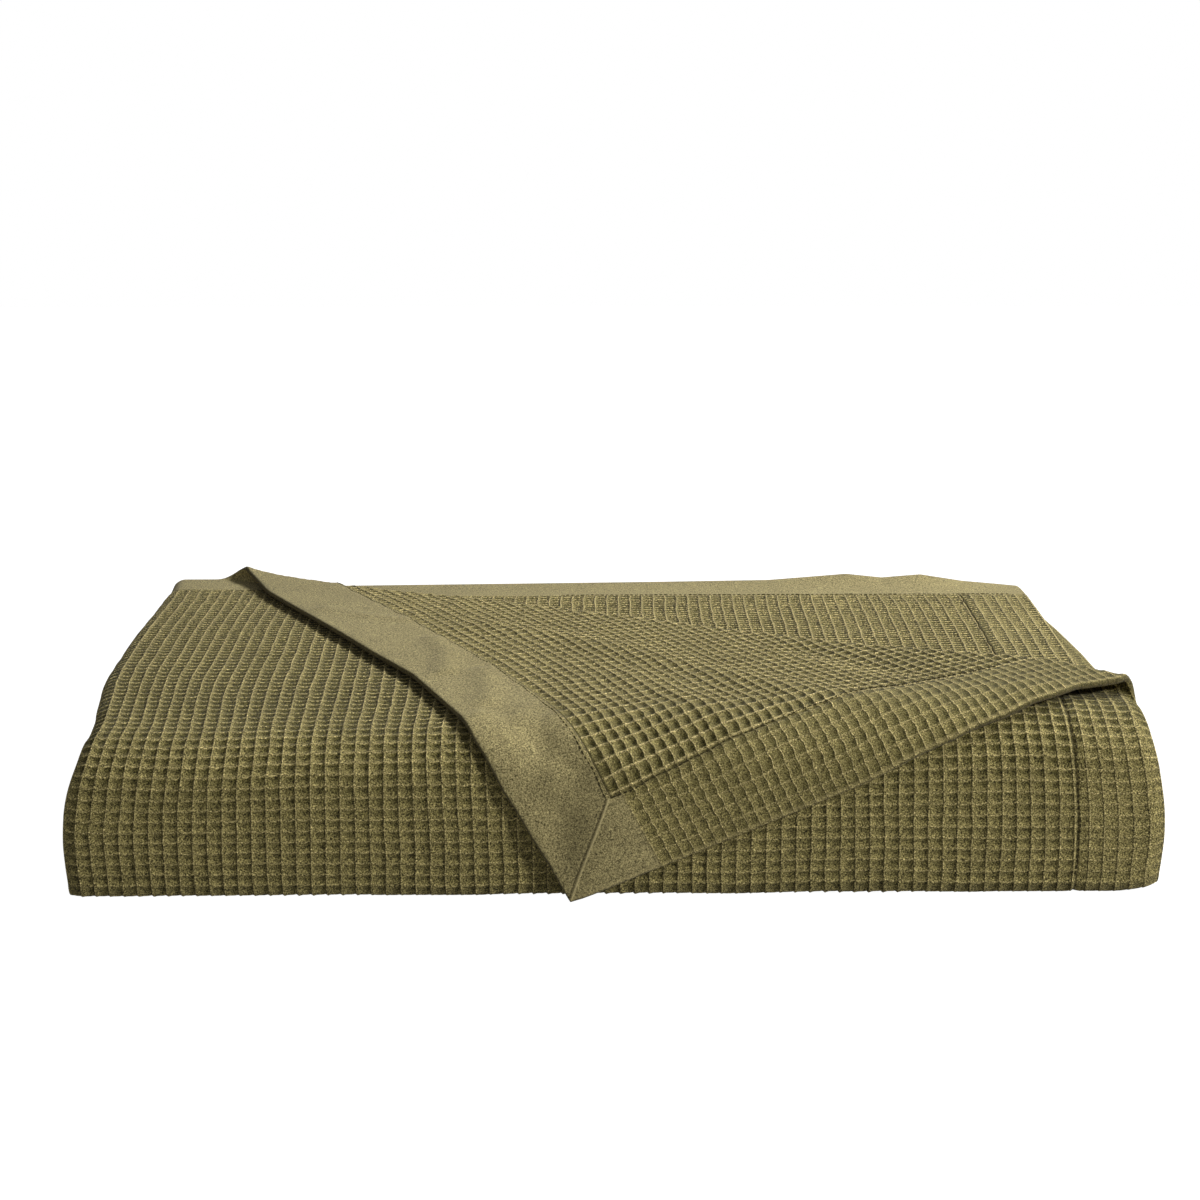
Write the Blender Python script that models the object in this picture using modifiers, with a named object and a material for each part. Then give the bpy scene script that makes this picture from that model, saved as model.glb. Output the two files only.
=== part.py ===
"""A waffle weave cotton blanket, folded into a stack of twenty-four plies.

One strip of cloth runs back and forth through the stack. Its top ply comes from the back edge, rolls
down over the whole front and goes under the stack as the bottom ply. The back right corner of the top
ply is turned over a slanting fold, so that it lies with its reverse side up and its tip reaches the
floor in front. The strip is one open surface, thickened by a Solidify modifier.

Lengths are in millimetres up to the mesh, which is in metres. While the shape is worked out, x runs
right from the middle, t runs back from the front face, and z runs up from the floor. A place on the
top ply is (u, s): u from its left edge, s forward from its back edge, both along the cloth.
"""

import math

import bmesh
import bpy
import numpy as np

WIDTH = 572.0  # a quarter of the blanket's 2.29 m
DEPTH = 381.0  # a sixth of it
TOP_LEVEL = 106.0  # middle of the top ply at the back
PLIES = 24
THICK = 2.4
PLY_GAP = 1.2  # least room between two plies at a fold
HALF = WIDTH / 2
FLOOR_LEVEL = THICK / 2  # middle of the bottom ply

TO_FLOOR = 479.0  # cloth from the back edge over the front down to the floor
FOLD_FROM = 47.0  # the slanting fold leaves the back edge here, from the left edge
FOLD_TO = 338.0  # and meets the right edge here, from the back edge
FOLD_RADIUS = 2.9
FOLD_LIFT_LEFT = 4.0  # the fold is fatter at its two ends
FOLD_LIFT_LEFT_REACH = 50.0
FOLD_LIFT_RIGHT = 2.6
FOLD_LIFT_RIGHT_SPAN = (430.0, 600.0)  # along the fold, where that comes in
FOLD_SAG = 7.0  # between its ends the fold bows forward by this much
FOLD_SAG_EARLY = 0.8  # under 1, the most of it comes before the middle
FOLD_SAG_REACH = 60.0
FLAP_REST = THICK + 2.2  # the turned corner over the ply below, middle to middle
FLAP_TAPER = 55.0  # how far from the fold it comes down to that

# The turned corner's two free edges bow out. The old back edge does so over its length, from its start
# to the tip; the old side does so round one place, in shares of its length from the tip.
BACK_EDGE_BOW = 12.0
BACK_EDGE_BOW_EARLY = 0.75
BACK_EDGE_BOW_IN = 0.2
SIDE_SWELL = 15.0
SIDE_SWELL_AT = 0.84
SIDE_SWELL_SPREAD = 0.15
SIDE_SWELL_OUT = 0.93

# The top ply across the blanket, from its left edge: the fall from the back to the front shoulder, how
# late that fall comes, the depth of the rounded shoulder, and the height of the upright face.
PROFILE = {
    "across": (0, 190, 300, 420, 572),
    "fall": (29, 27, 19, 11, 8),
    "lateness": (3.3, 3.1, 2.6, 2.1, 2.0),
    "shoulder": (22, 24, 28, 32, 34),
    "face": (56, 58, 62, 67, 69),
}
PROFILE_BLEND = (-60, -30, 0, 30, 60)  # the rows above are read softly, over this width
FACE_BELLY = 3.0  # the face bows forward by this much
FOOT_RADIUS = 6.0  # where the face turns under the stack

ROLL_RADIUS = 9.0  # the top ply's sides roll down
ROLL_ANGLE = 0.9
SHOULDER_PULL = (10.0, 5.0)  # its left and right sides draw in by this much at the front shoulder
SHOULDER_AT = 372.0  # along the ply
SHOULDER_SPREAD = 50.0
SIDE_BELLY = 3.5  # and both bow out by this much lower down the face
SIDE_BELLY_AT = 440.0
SIDE_BELLY_SPREAD = 35.0
SIDE_REACH = 130.0

INSET_LEFT = 10.5  # the inner plies stop short of the top ply's sides
INSET_RIGHT = 9.5
SIDE_UNEVEN = 2.0
FOLD_UNEVEN = 2.2
FRONT_FOLD_TRIES = np.arange(0, 120, 0.5)  # places tried for a front fold's centre
FRONT_FOLD_ROOM = 1.0

# How the inner plies' edges wander: the turn of a sine from ply to ply, and its length along the edge.
WANDER = {"front": (2.4, 120.0), "back": (1.7, 95.0), "left": (1.3, 70.0), "right": (2.1, 80.0)}

# The second ply's back edge, which the turned corner leaves bare: across from the left, and its lift.
WAVES = {"across": (0, 120, 230, 330, 410, 470, 520, 552, 572), "lift": (0, 0, 1, 2, 3.5, 7, 3, 0, -2)}
WAVE_REACH = 46.0
SECOND_PLY_INSET = 5.0  # its right side at the back
SECOND_PLY_TAPER = 14.0  # which draws in by this much towards the front
SECOND_PLY_TAPER_REACH = 300.0

MIDDLE_X = 0.205  # the finished solid's middle in x and t, which the mesh has at its origin
MIDDLE_T = 186.194
COTTON_COLOUR = (0.162, 0.137, 0.062, 1.0)


def soft_step(low, high, x):
    share = np.clip((x - low) / (high - low), 0, 1)
    return share * share * (3 - 2 * share)


def across(name, u):
    """A row of PROFILE at u, read softly."""
    return np.mean([np.interp(u + d, PROFILE["across"], PROFILE[name]) for d in PROFILE_BLEND], axis=0)


def top_level(u, t):
    """Height of the top ply's middle where it lies on the stack."""
    forward = np.clip((DEPTH - t) / DEPTH, 0, 1)
    return TOP_LEVEL - across("fall", u) * forward ** across("lateness", u)


def front_profile(u, foot_radius=0.0):
    """Points (t, z) of the top ply from its back edge over the front to the floor."""
    shoulder, face = across("shoulder", u), across("face", u)
    turn = np.linspace(0, math.pi / 2, 60)[1:]
    t = np.concatenate([np.linspace(DEPTH, shoulder, 160), shoulder * (1 - np.sin(turn))])
    rounding = np.sqrt(np.clip(1 - (1 - np.minimum(t / shoulder, 1)) ** 2, 0, 1))
    z = face + (top_level(u, t) - face) * rounding
    foot = FLOOR_LEVEL + foot_radius
    down = np.linspace(face, foot, 50)[1:]
    t = np.concatenate([t, np.zeros(len(down)), foot_radius * (1 - np.cos(turn))])
    z = np.concatenate([z, down, foot - foot_radius * np.sin(turn)])
    belly = np.sin(math.pi * np.clip((z - FLOOR_LEVEL) / (face + shoulder - FLOOR_LEVEL), 0, 1))
    return t - FACE_BELLY * belly * (t < shoulder) * (1 - np.clip(t / shoulder, 0, 1)), z


def profile_table():
    """The top ply's (t, z) on a grid of u and s, its face taken straight down to the floor."""
    us = np.linspace(0, WIDTH, 96)
    ss = np.linspace(0, TO_FLOOR, 240)
    grid = np.zeros((len(us), len(ss), 2))
    for i, u in enumerate(us):
        t, z = front_profile(u)
        length = np.concatenate([[0], np.cumsum(np.hypot(np.diff(t), np.diff(z)))])
        s = length / length[-1] * TO_FLOOR
        grid[i] = np.stack([np.interp(ss, s, t), np.interp(ss, s, z)], axis=-1)
    return grid


TABLE = profile_table()


def on_table(u, s):
    """The table at (u, s), between its grid points."""
    across_at = np.clip(u / WIDTH, 0, 1) * (TABLE.shape[0] - 1)
    along_at = np.clip(s / TO_FLOOR, 0, None) * (TABLE.shape[1] - 1)
    i = np.minimum(across_at.astype(int), TABLE.shape[0] - 2)
    j = np.minimum(along_at.astype(int), TABLE.shape[1] - 2)
    a, b = (across_at - i)[..., None], (along_at - j)[..., None]
    near = TABLE[i, j] * (1 - a) + TABLE[i + 1, j] * a
    far = TABLE[i, j + 1] * (1 - a) + TABLE[i + 1, j + 1] * a
    return near * (1 - b) + far * b


def bed(u, s):
    """The top ply's middle surface without its rolled sides, as if it were never turned back."""
    place = on_table(u, s)
    behind = np.clip(-s, 0, None)
    near_left = np.clip(1 - u / SIDE_REACH, 0, 1) ** 2
    near_right = np.clip(1 - (WIDTH - u) / SIDE_REACH, 0, 1) ** 2
    shoulder = np.exp(-(((s - SHOULDER_AT) / SHOULDER_SPREAD) ** 2))
    belly = SIDE_BELLY * np.exp(-(((s - SIDE_BELLY_AT) / SIDE_BELLY_SPREAD) ** 2))
    drawn_left = (SHOULDER_PULL[0] * shoulder - belly) * near_left
    drawn_right = (SHOULDER_PULL[1] * shoulder - belly) * near_right
    x = u - HALF + drawn_left - drawn_right
    return np.stack([x, place[..., 0] + behind, place[..., 1]], axis=-1)


def bed_normal(u, s, step=3.0):
    side = bed(u + step, s) - bed(u - step, s)
    forward = bed(u, s + step) - bed(u, s - step)
    normal = np.cross(forward, side)
    return normal / np.linalg.norm(normal, axis=-1, keepdims=True)


def rolled(u):
    """How far a place near a side moves in and down as the side rolls."""
    strip = ROLL_RADIUS * ROLL_ANGLE
    left, right = np.clip(strip - u, 0, None), np.clip(u - (WIDTH - strip), 0, None)
    angle = (left + right) / ROLL_RADIUS
    inward = (left + right) - ROLL_RADIUS * np.sin(angle)
    return np.where(left > 0, inward, -inward), ROLL_RADIUS * (1 - np.cos(angle))


SLANT = math.atan2(FOLD_TO, WIDTH - FOLD_FROM)
FOLD_LENGTH = math.hypot(FOLD_TO, WIDTH - FOLD_FROM)
ALONG = np.array([math.cos(SLANT), math.sin(SLANT)])
INTO_PLY = np.array([-math.sin(SLANT), math.cos(SLANT)])


def fold_line(u):
    """Where the slanting fold crosses the cloth at u, forward from the back edge."""
    return np.clip(u - FOLD_FROM, 0, None) * math.tan(SLANT)


def corner_edge():
    """The turned corner's two free edges where they lie on the ply, as rows of u and s: first the old
    back edge out to the tip, then the old side back to the slanting fold's end."""
    share = np.linspace(0, 1, 80)
    tip = np.array([math.cos(2 * SLANT), math.sin(2 * SLANT)]) * (WIDTH - FOLD_FROM)
    end = np.array([WIDTH - FOLD_FROM, FOLD_TO])
    bow = BACK_EDGE_BOW * np.sin(math.pi * share**BACK_EDGE_BOW_EARLY) * soft_step(0, BACK_EDGE_BOW_IN, share)
    back_edge = share[:, None] * tip + bow[:, None] * [-math.sin(2 * SLANT), math.cos(2 * SLANT)]
    swell = SIDE_SWELL * np.exp(-(((share - SIDE_SWELL_AT) / SIDE_SWELL_SPREAD) ** 2))
    swell = swell * soft_step(1, SIDE_SWELL_OUT, share)
    side = tip + share[:, None] * (end - tip)
    side = side + swell[:, None] * [math.cos(2 * SLANT), math.sin(2 * SLANT)]
    edge = np.concatenate([back_edge, side[1:]])
    return edge[:, 0] + FOLD_FROM, edge[:, 1]


def fold_radius(along):
    """The slanting fold's radius, along it from its start."""
    left = FOLD_LIFT_LEFT * np.exp(-np.clip(along, 0, None) / FOLD_LIFT_LEFT_REACH)
    return FOLD_RADIUS + left + FOLD_LIFT_RIGHT * soft_step(*FOLD_LIFT_RIGHT_SPAN, along)


def top_ply(u, s, turned=False):
    """The top ply's middle surface at a place (u, s) of the stack: the ply that lies there, or with
    turned the corner that is folded over it."""
    u, s = np.broadcast_arrays(np.asarray(u, float), np.asarray(s, float))
    from_fold = np.stack([u - FOLD_FROM, s], axis=-1)
    along = from_fold @ ALONG
    past = from_fold @ INTO_PLY * (1 if turned else -1)
    radius = fold_radius(along)
    angle = np.clip(past / radius, -math.pi / 2, math.pi / 2)
    in_arc = np.abs(past) < radius * math.pi / 2
    away = np.where(in_arc, radius * (math.pi / 2 - np.cos(angle)), np.abs(past))
    beyond = np.clip(past - radius * math.pi / 2, 0, None)
    resting = FLAP_REST + (2 * radius - FLAP_REST) * np.exp(-beyond / FLAP_TAPER)
    height = np.where(in_arc, radius * (1 + np.sin(angle)), np.where(past > 0, resting, 0))
    on_ply = along[..., None] * ALONG + away[..., None] * INTO_PLY
    u_at, s_at = on_ply[..., 0] + FOLD_FROM, on_ply[..., 1]
    edge_in, edge_down = rolled(u)
    if turned:
        edge_in, edge_down = 0 * edge_in, 0 * edge_down
    point = bed(u_at, s_at) + bed_normal(u_at, s_at) * (height - edge_down)[..., None]
    point[..., 0] += edge_in
    sag = FOLD_SAG * np.sin(math.pi * np.clip(along / FOLD_LENGTH, 0, 1) ** FOLD_SAG_EARLY)
    point[..., 1] -= sag * np.exp(-((past / FOLD_SAG_REACH) ** 2))
    return point


def ply_level(ply, u, t):
    """Height of an inner ply's middle; ply 1 is the bottom one."""
    share = (ply - 1) / (PLIES - 1)
    return FLOOR_LEVEL + share * (top_level(u, t) - FLOOR_LEVEL)


def wander(edge, ply, at):
    """From -1 to 1: how an inner ply's edge strays at a place along it."""
    turn, length = WANDER[edge]
    return math.sin(turn * ply + at / length)


def front_centre(ply, u):
    """How far back the front fold between this ply and the next one has its centre."""
    t, z = front_profile(u)
    low, high = ply_level(ply, u, FRONT_FOLD_TRIES), ply_level(ply + 1, u, FRONT_FOLD_TRIES)
    radius = (high - low) / 2
    reach = np.hypot(t[:, None] - FRONT_FOLD_TRIES, z[:, None] - (low + high) / 2).min(axis=0)
    blocked = np.flatnonzero(reach < radius + THICK + PLY_GAP)
    clear = FRONT_FOLD_TRIES[blocked[-1]] + FRONT_FOLD_ROOM
    return clear + FOLD_UNEVEN * (1 + wander("front", ply, u))


def back_centre(ply, u):
    """How far back the fold behind this ply and the next one has its centre."""
    radius = (ply_level(ply + 1, u, DEPTH) - ply_level(ply, u, DEPTH)) / 2
    return DEPTH - THICK - radius - FOLD_UNEVEN * (1 + wander("back", ply, u))


# The outer ply's grid: columns from its left edge, and rows beside the slanting fold, over the ply up to
# FIXED_FROM, and over the shoulder and the face. The turned corner has the rows and columns of the ply
# below it, so the two never cut each other.
COLUMNS = (
    (0, 4, 8.1, 28, FOLD_FROM, 52, 62, 76, 92, 108, 128, 150, 182, 206, 214, 221, 228, 236, 250)
    + (290, 320, 350, 380, 410, 438, 466, 492, 520, 546, 563.9, 568, 572)
)
ARC_ROWS = (0.7, 1.35, 2.2)  # in radii of the slanting fold
BODY_ROWS = (0.16, 0.4, 0.64, 0.84, 1)
FIXED_FROM = 352.0
FIXED_ROWS = (364, 373, 382, 391, 401, 414, 436, 460)
FOOT_STEPS = 3

INNER_COLUMNS = 9
EDGE_COLUMNS = 17  # where the second ply shows its waved edge
INNER_STEPS = 5
FOLD_STEPS = 4
EDGE_ROWS = (32.0, 20.0, 9.0, 0.0)  # before the second ply's back edge
UNDER_FROM = 48.0  # the bottom ply has the inner plies' columns from here back


def outer_rows():
    """Rows of points over the outer ply, from the turned corner's edge to the foot of the face."""
    tip_u = FOLD_FROM + (WIDTH - FOLD_FROM) * math.cos(2 * SLANT)
    u = np.array(sorted(COLUMNS + (tip_u,)), float)
    line = fold_line(u)
    radius = fold_radius((u - FOLD_FROM) / math.cos(SLANT))
    start = line + ARC_ROWS[-1] * radius
    places = [line] + [line + after * radius for after in ARC_ROWS]
    places += [start + share * (FIXED_FROM - start) for share in BODY_ROWS]
    places += [np.full(len(u), float(s)) for s in FIXED_ROWS]
    edge = np.where(u < FOLD_FROM, 0, np.interp(u, *corner_edge()))
    reach = line + (edge - line) * (u > FOLD_FROM)
    beyond = [np.minimum(s, reach) for s in places] + [reach]
    narrowed = np.minimum(radius, (reach - line) / (ARC_ROWS[-1] + 0.5))
    beyond[1:4] = [line + after * narrowed for after in ARC_ROWS]
    before_fold = (u < FOLD_FROM)[:, None]
    rows = [np.where(before_fold, top_ply(u, s), top_ply(u, s, True)) for s in reversed(beyond[1:])]
    rows += [top_ply(u, s) for s in places]
    foot = top_ply(u, np.full(len(u), TO_FLOOR - FOOT_RADIUS))
    for turn in np.linspace(0, math.pi / 2, FOOT_STEPS + 1):
        row = foot.copy()
        row[:, 1] += FOOT_RADIUS * (1 - math.cos(turn))
        row[:, 2] = FLOOR_LEVEL + (foot[:, 2] - FLOOR_LEVEL) * (1 - math.sin(turn))
        rows.append(row)
    return rows


def inner_point(ply, share, t, z=None):
    """A point on an inner ply, share of the way from its left side to its right side."""
    drawn = math.exp(-(((DEPTH - t - SHOULDER_AT) / SHOULDER_SPREAD) ** 2))
    left = -HALF + INSET_LEFT + SIDE_UNEVEN * wander("left", ply, t) + SHOULDER_PULL[0] * drawn
    right = HALF - INSET_RIGHT - SIDE_UNEVEN * wander("right", ply, t) - SHOULDER_PULL[1] * drawn
    if ply == PLIES - 1:
        forward = min(max((DEPTH - t) / SECOND_PLY_TAPER_REACH, 0), 1)
        right = HALF - SECOND_PLY_INSET - SECOND_PLY_TAPER * forward
    x = left + (right - left) * share
    return [x, t, ply_level(ply, x + HALF, t) if z is None else z]


def fold_points(ply, share, centre, outward):
    """The points of a fold from one ply up to the next, without its two ends."""
    low, high = inner_point(ply, share, centre), inner_point(ply + 1, share, centre)
    radius, middle = (high[2] - low[2]) / 2, (high[2] + low[2]) / 2
    points = []
    for step in range(1, FOLD_STEPS):
        turn = math.pi * (step / FOLD_STEPS - 0.5)
        x = low[0] + (high[0] - low[0]) * step / FOLD_STEPS
        points.append([x, centre + outward * radius * math.cos(turn), middle + radius * math.sin(turn)])
    return points


def inner_column(share):
    """The path of the inner plies, bottom to top, at a share of the way across."""
    u = share * WIDTH
    path, start = [], UNDER_FROM
    for ply in range(1, PLIES):
        backward = ply % 2 == 1
        if ply == PLIES - 1:
            end = DEPTH - WAVE_REACH
        else:
            end = back_centre(ply, u) if backward else front_centre(ply, u)
        path += [inner_point(ply, share, t) for t in np.linspace(start, end, INNER_STEPS + 1)]
        if ply < PLIES - 1:
            path += fold_points(ply, share, end, 1 if backward else -1)
        start = end
    return path


def waved_edge():
    """The last rows of the second ply, up to its waved back edge."""
    shares = np.linspace(0, 1, EDGE_COLUMNS)
    rows = []
    for before in EDGE_ROWS:
        row = [inner_point(PLIES - 1, share, DEPTH - before) for share in shares]
        for point in row:
            lift = np.interp(point[0] + HALF, WAVES["across"], WAVES["lift"])
            point[2] += lift * (1 - before / WAVE_REACH) ** 2
        rows.append(np.array(row))
    return rows


def add_row(mesh, row, made):
    """The row's vertices; points that fall together, as at the slanting fold's start, become one."""
    found = []
    for point in row:
        key = tuple(round(float(value), 3) for value in point)
        if key not in made:
            made[key] = mesh.verts.new([value * 0.001 for value in point])
        found.append(made[key])
    return found


def bridge(mesh, first, second):
    """Faces between two rows; where their counts differ, triangles spread them evenly."""
    if len(first) == len(second):
        for i in range(len(first) - 1):
            corners = [first[i], first[i + 1], second[i + 1], second[i]]
            ring = [c for n, c in enumerate(corners) if c is not corners[n - 1]]
            if len(set(ring)) >= 3:
                mesh.faces.new(ring)
        return
    i = j = 0
    while i < len(first) - 1 or j < len(second) - 1:
        behind = (i + 0.5) / (len(first) - 1) <= (j + 0.5) / (len(second) - 1)
        if j == len(second) - 1 or (behind and i < len(first) - 1):
            mesh.faces.new([first[i], first[i + 1], second[j]])
            i += 1
        else:
            mesh.faces.new([first[i], second[j + 1], second[j]])
            j += 1


def cloth_surface():
    """The whole strip as one open surface, from the turned corner to the second ply's back edge."""
    mesh = bmesh.new()
    made = {}
    rows = outer_rows()
    rows += [np.array(row) for row in zip(*[inner_column(c) for c in np.linspace(0, 1, INNER_COLUMNS)])]
    rows += waved_edge()
    vertices = [add_row(mesh, row, made) for row in rows]
    for first, second in zip(vertices, vertices[1:]):
        bridge(mesh, first, second)
    bmesh.ops.recalc_face_normals(mesh, faces=mesh.faces)
    return mesh


def cloth_material():
    material = bpy.data.materials.new("olive cotton")
    material.use_nodes = True
    surface = material.node_tree.nodes["Principled BSDF"]
    surface.inputs["Base Color"].default_value = COTTON_COLOUR
    surface.inputs["Roughness"].default_value = 0.92
    surface.inputs["Metallic"].default_value = 0.0
    material.diffuse_color = COTTON_COLOUR
    return material


def main():
    for old in list(bpy.data.objects):
        bpy.data.objects.remove(old)
    collection = bpy.data.collections.new("waffle weave blanket")
    bpy.context.scene.collection.children.link(collection)
    surface = cloth_surface()
    bmesh.ops.translate(surface, verts=surface.verts, vec=(-MIDDLE_X * 0.001, -MIDDLE_T * 0.001, 0))
    data = bpy.data.meshes.new("blanket")
    surface.to_mesh(data)
    surface.free()
    blanket = bpy.data.objects.new("blanket", data)
    collection.objects.link(blanket)
    data.materials.append(cloth_material())
    thickness = blanket.modifiers.new("Thickness", "SOLIDIFY")
    thickness.thickness = THICK * 0.001
    thickness.offset = 0


if __name__ == "__main__":
    main()
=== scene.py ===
"""The looks of the folded waffle weave cotton blanket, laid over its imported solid.

The cloth is three thin sheets on the solid's folds: the outer ply with its turned corner, the second
ply that shows behind the slanting fold, and the plies inside the stack. Each has the relief of the
waffle weave in its mesh, and the first two have a plain woven end band, a side hem and, on the turned
corner, a mitre. The stitches of the hem and the bands are a fourth piece.

Lengths are in millimetres up to the meshes, which are in metres. x runs right from the middle of the
stack, t runs back from its front face, and z runs up. A place on the cloth is (u, s): u from its left
edge, s forward from its back edge.
"""

import math
from types import SimpleNamespace

import bpy
import numpy as np
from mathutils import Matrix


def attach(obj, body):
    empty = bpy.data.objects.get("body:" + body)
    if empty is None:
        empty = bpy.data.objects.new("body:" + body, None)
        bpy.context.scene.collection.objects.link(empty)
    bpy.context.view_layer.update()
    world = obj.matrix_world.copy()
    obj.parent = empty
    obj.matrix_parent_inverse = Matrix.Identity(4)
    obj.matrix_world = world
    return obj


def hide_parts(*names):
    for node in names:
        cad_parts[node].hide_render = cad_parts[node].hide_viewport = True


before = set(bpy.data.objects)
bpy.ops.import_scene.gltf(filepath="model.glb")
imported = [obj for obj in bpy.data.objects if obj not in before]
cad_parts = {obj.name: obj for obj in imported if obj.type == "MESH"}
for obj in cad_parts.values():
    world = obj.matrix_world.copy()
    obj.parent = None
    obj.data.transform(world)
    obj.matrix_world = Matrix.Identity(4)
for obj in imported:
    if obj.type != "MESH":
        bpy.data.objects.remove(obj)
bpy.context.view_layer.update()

# The stack, as the solid has it.
WIDTH = 572.0
DEPTH = 381.0
TOP_LEVEL = 106.0
PLIES = 24
THICK = 2.4
HALF = WIDTH / 2
FLOOR_LEVEL = THICK / 2
TO_FLOOR = 479.0
FOLD_FROM = 47.0
FOLD_TO = 338.0
FOLD_RADIUS = 2.9
FOLD_TIGHT = 0.6  # the slanting fold is pressed flatter near its left end
FOLD_TIGHT_SPAN = (120.0, 220.0)
FOLD_LIFT_LEFT = 4.0
FOLD_LIFT_LEFT_REACH = 22.0
FOLD_LIFT_RIGHT = 2.6
FOLD_LIFT_RIGHT_SPAN = (430.0, 600.0)
FOLD_SAG = 7.0
FOLD_SAG_EARLY = 0.8
FOLD_SAG_REACH = 60.0
FLAP_REST = THICK + 2.2
FLAP_TAPER = 55.0
BACK_EDGE_BOW = 12.0
BACK_EDGE_BOW_EARLY = 0.75
SIDE_SWELL = 15.0
SIDE_SWELL_AT = 0.84 * FOLD_TO
SIDE_SWELL_SPREAD = 50.0
SLACK_ROOM = {"back": 60, "side": 25}  # the turned corner's edges are loose where it is wider than this
BAND_EDGE_EASE = {"across": (47, 330, 380, 430, 475, 520, 572), "out": (0, 0, -2.5, 1.5, 4.5, 2, 0)}
HEM_EDGE_EASE = {
    "along": (0, 60, 160, 215, 245, 265, 295, 318, 338),
    "out": (0, 3, 5.5, 5, 0, -6, -9, -5, 0),
}
FOLD_END_DROOP = 5.0  # the slanting fold's right end hangs lower
FOLD_END_DROOP_FROM = 500.0
FOLD_END_DROOP_SPREAD = 55.0
PROFILE = {
    "across": (0, 190, 300, 420, 572),
    "fall": (29, 27, 19, 11, 8),
    "lateness": (3.3, 3.1, 2.6, 2.1, 2.0),
    "shoulder": (22, 24, 28, 32, 34),
    "face": (56, 58, 62, 67, 69),
}
PROFILE_BLEND = (-60, -30, 0, 30, 60)
PROFILE_POINTS = {"top": 160, "turn": 60, "face": 50}
TABLE_SIZE = (96, 240)
FACE_BELLY = 3.0
FOOT_RADIUS = 6.0
UNDERLAP = 44.0  # the outer ply runs on under the stack by this much
ROLL_RADIUS = 9.0
ROLL_ANGLE = 0.9
SHOULDER_PULL = (10.0, 5.0)
SHOULDER_AT = 372.0
SHOULDER_SPREAD = 50.0
SIDE_BELLY = 3.5
SIDE_BELLY_AT = 440.0
SIDE_BELLY_SPREAD = 35.0
SIDE_REACH = 130.0
LEFT_EASE = {
    "along": (0, 40, 120, 250, 320, 348, 385, 430, 479),
    "in": (3, 6, 7, 6.5, 4.5, 2, 1, 2.5, 3.5),
}
FOOT_LIFT = 3.4  # the front's bottom right corner stands off the floor
FOOT_LIFT_FROM = 545.0
FOOT_LIFT_HEIGHT = 60.0
INSET_LEFT = 10.5
INSET_RIGHT = 9.5
SIDE_UNEVEN = 2.0
FOLD_UNEVEN = 2.2
PLY_GAP = 1.2
FRONT_FOLD_TRIES = np.arange(0, 120, 0.5)
FRONT_FOLD_ROOM = 1.0
WANDER = {"front": (2.4, 120.0), "back": (1.7, 95.0), "left": (1.3, 70.0), "right": (2.1, 80.0)}
WAVES = {
    "across": (0, 120, 230, 330, 400, 452, 476, 502, 530, 552, 572),
    "lift": (0, 0, 1, 2, 3, 7, 4.5, 6.5, 2, 0, -2),
}
WAVE_REACH = 46.0
SECOND_PLY_INSET = 5.0
SECOND_PLY_TAPER = 19.0
SECOND_PLY_TAPER_REACH = 300.0
# Soft creases in the turned corner, each along a line on the cloth: the line's points (u, s), how far
# its sides reach, and how far it stands up, or sinks where below 0.
CREASES = (
    (((576, -4), (556, 18), (542, 34)), 26, 5.5),
    (((556, 2), (530, 22), (512, 36)), 9, -1.8),
    (((295, 76), (344, 104), (398, 128), (460, 146), (530, 178), (562, 218)), 12, 1.5),
    (((436, 102), (486, 106), (516, 116)), 10, 1.3),
    (((428, 212), (468, 222), (500, 232)), 13, -2.0),
    (((498, 62), (522, 92)), 13, -1.4),
    (((318, 36), (352, 30), (384, 16)), 6, 1.8),
    (((452, 14), (484, 24), (512, 34)), 8, -1.6),
    (((392, 34), (424, 26), (456, 10)), 6, 1.6),
    (((548, 6), (534, 14), (520, 16)), 9, -2.0),
    (((210, 10), (240, 22), (262, 38)), 6, 1.4),
    (((470, 36), (496, 22), (516, 4)), 7, -1.5),
)
CREASES_START = 12.0  # this far past the slanting fold they are at their full height
MIDDLE_X = 0.205  # the frame's origin
MIDDLE_T = 186.194
OUTER_LENGTH = TO_FLOOR + UNDERLAP
SECOND_LENGTH = DEPTH - 56.0  # it ends under the outer ply, where the front starts to roll
INNER_GAP = 1.5  # from the outer ply's end, under the stack, to where the inner plies start
FOLD_TURNS = {"back": 8, "front": 4}
FLAT_STEPS = 5
SLOPE_STEP = 3.0  # how far on each side a surface's slope is taken
SAMPLES_ACROSS = 25

# The weave.
CELLS_ACROSS = 75
CELL = WIDTH / CELLS_ACROSS
CELL_ROW = 6.2
BAND = 44.0  # the plain woven end band, and the side hem
BAND_ROWS = 4
PLAIN_IN_HEM = 50.0  # the side hem's turned-in layer is plain up to here
LOFT = 1.65  # from the cloth's middle to the top of a ridge
PIT = 1.1  # from the top of a ridge down to the bottom of a pit
DEEPER = {"corner": 1.35, "second": 1.5}  # the turned corner's pits and the second ply's, against that
PIT_AT_FOLD = 1.0  # and where both faces are woven, along the slanting fold
SLOPE = {"at": (0, 0.16, 0.38, 0.64, 0.86, 1), "depth": (0, 0.42, 0.85, 1, 0.92, 0)}
CROSS_SLOPE = {"at": (0, 0.16, 0.5, 0.84, 1), "depth": (0.14, 0.7, 1, 0.7, 0.14)}
COLUMN_FRACTIONS = (0, 0.16, 0.38, 0.64, 0.86)  # grid lines in a cell, from a ridge to the next
ROW_FRACTIONS = (0, 0.16, 0.5, 0.84)
POINTS_IN_CELL = (len(COLUMN_FRACTIONS), len(ROW_FRACTIONS))
PIT_DEEPENS = (5, 14)  # how far from the slanting fold
BAND_BLEND = 0.6
BAND_LOFT = 1.2
HEM_BLEND = 2.0
HEM_FILLS_PITS = 0.35  # the turned-in layer behind a pit lifts it by this share of its depth
# the pits' painted shade is this share lighter over the hem
HEM_LIGHTENS = 0.3
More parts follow.
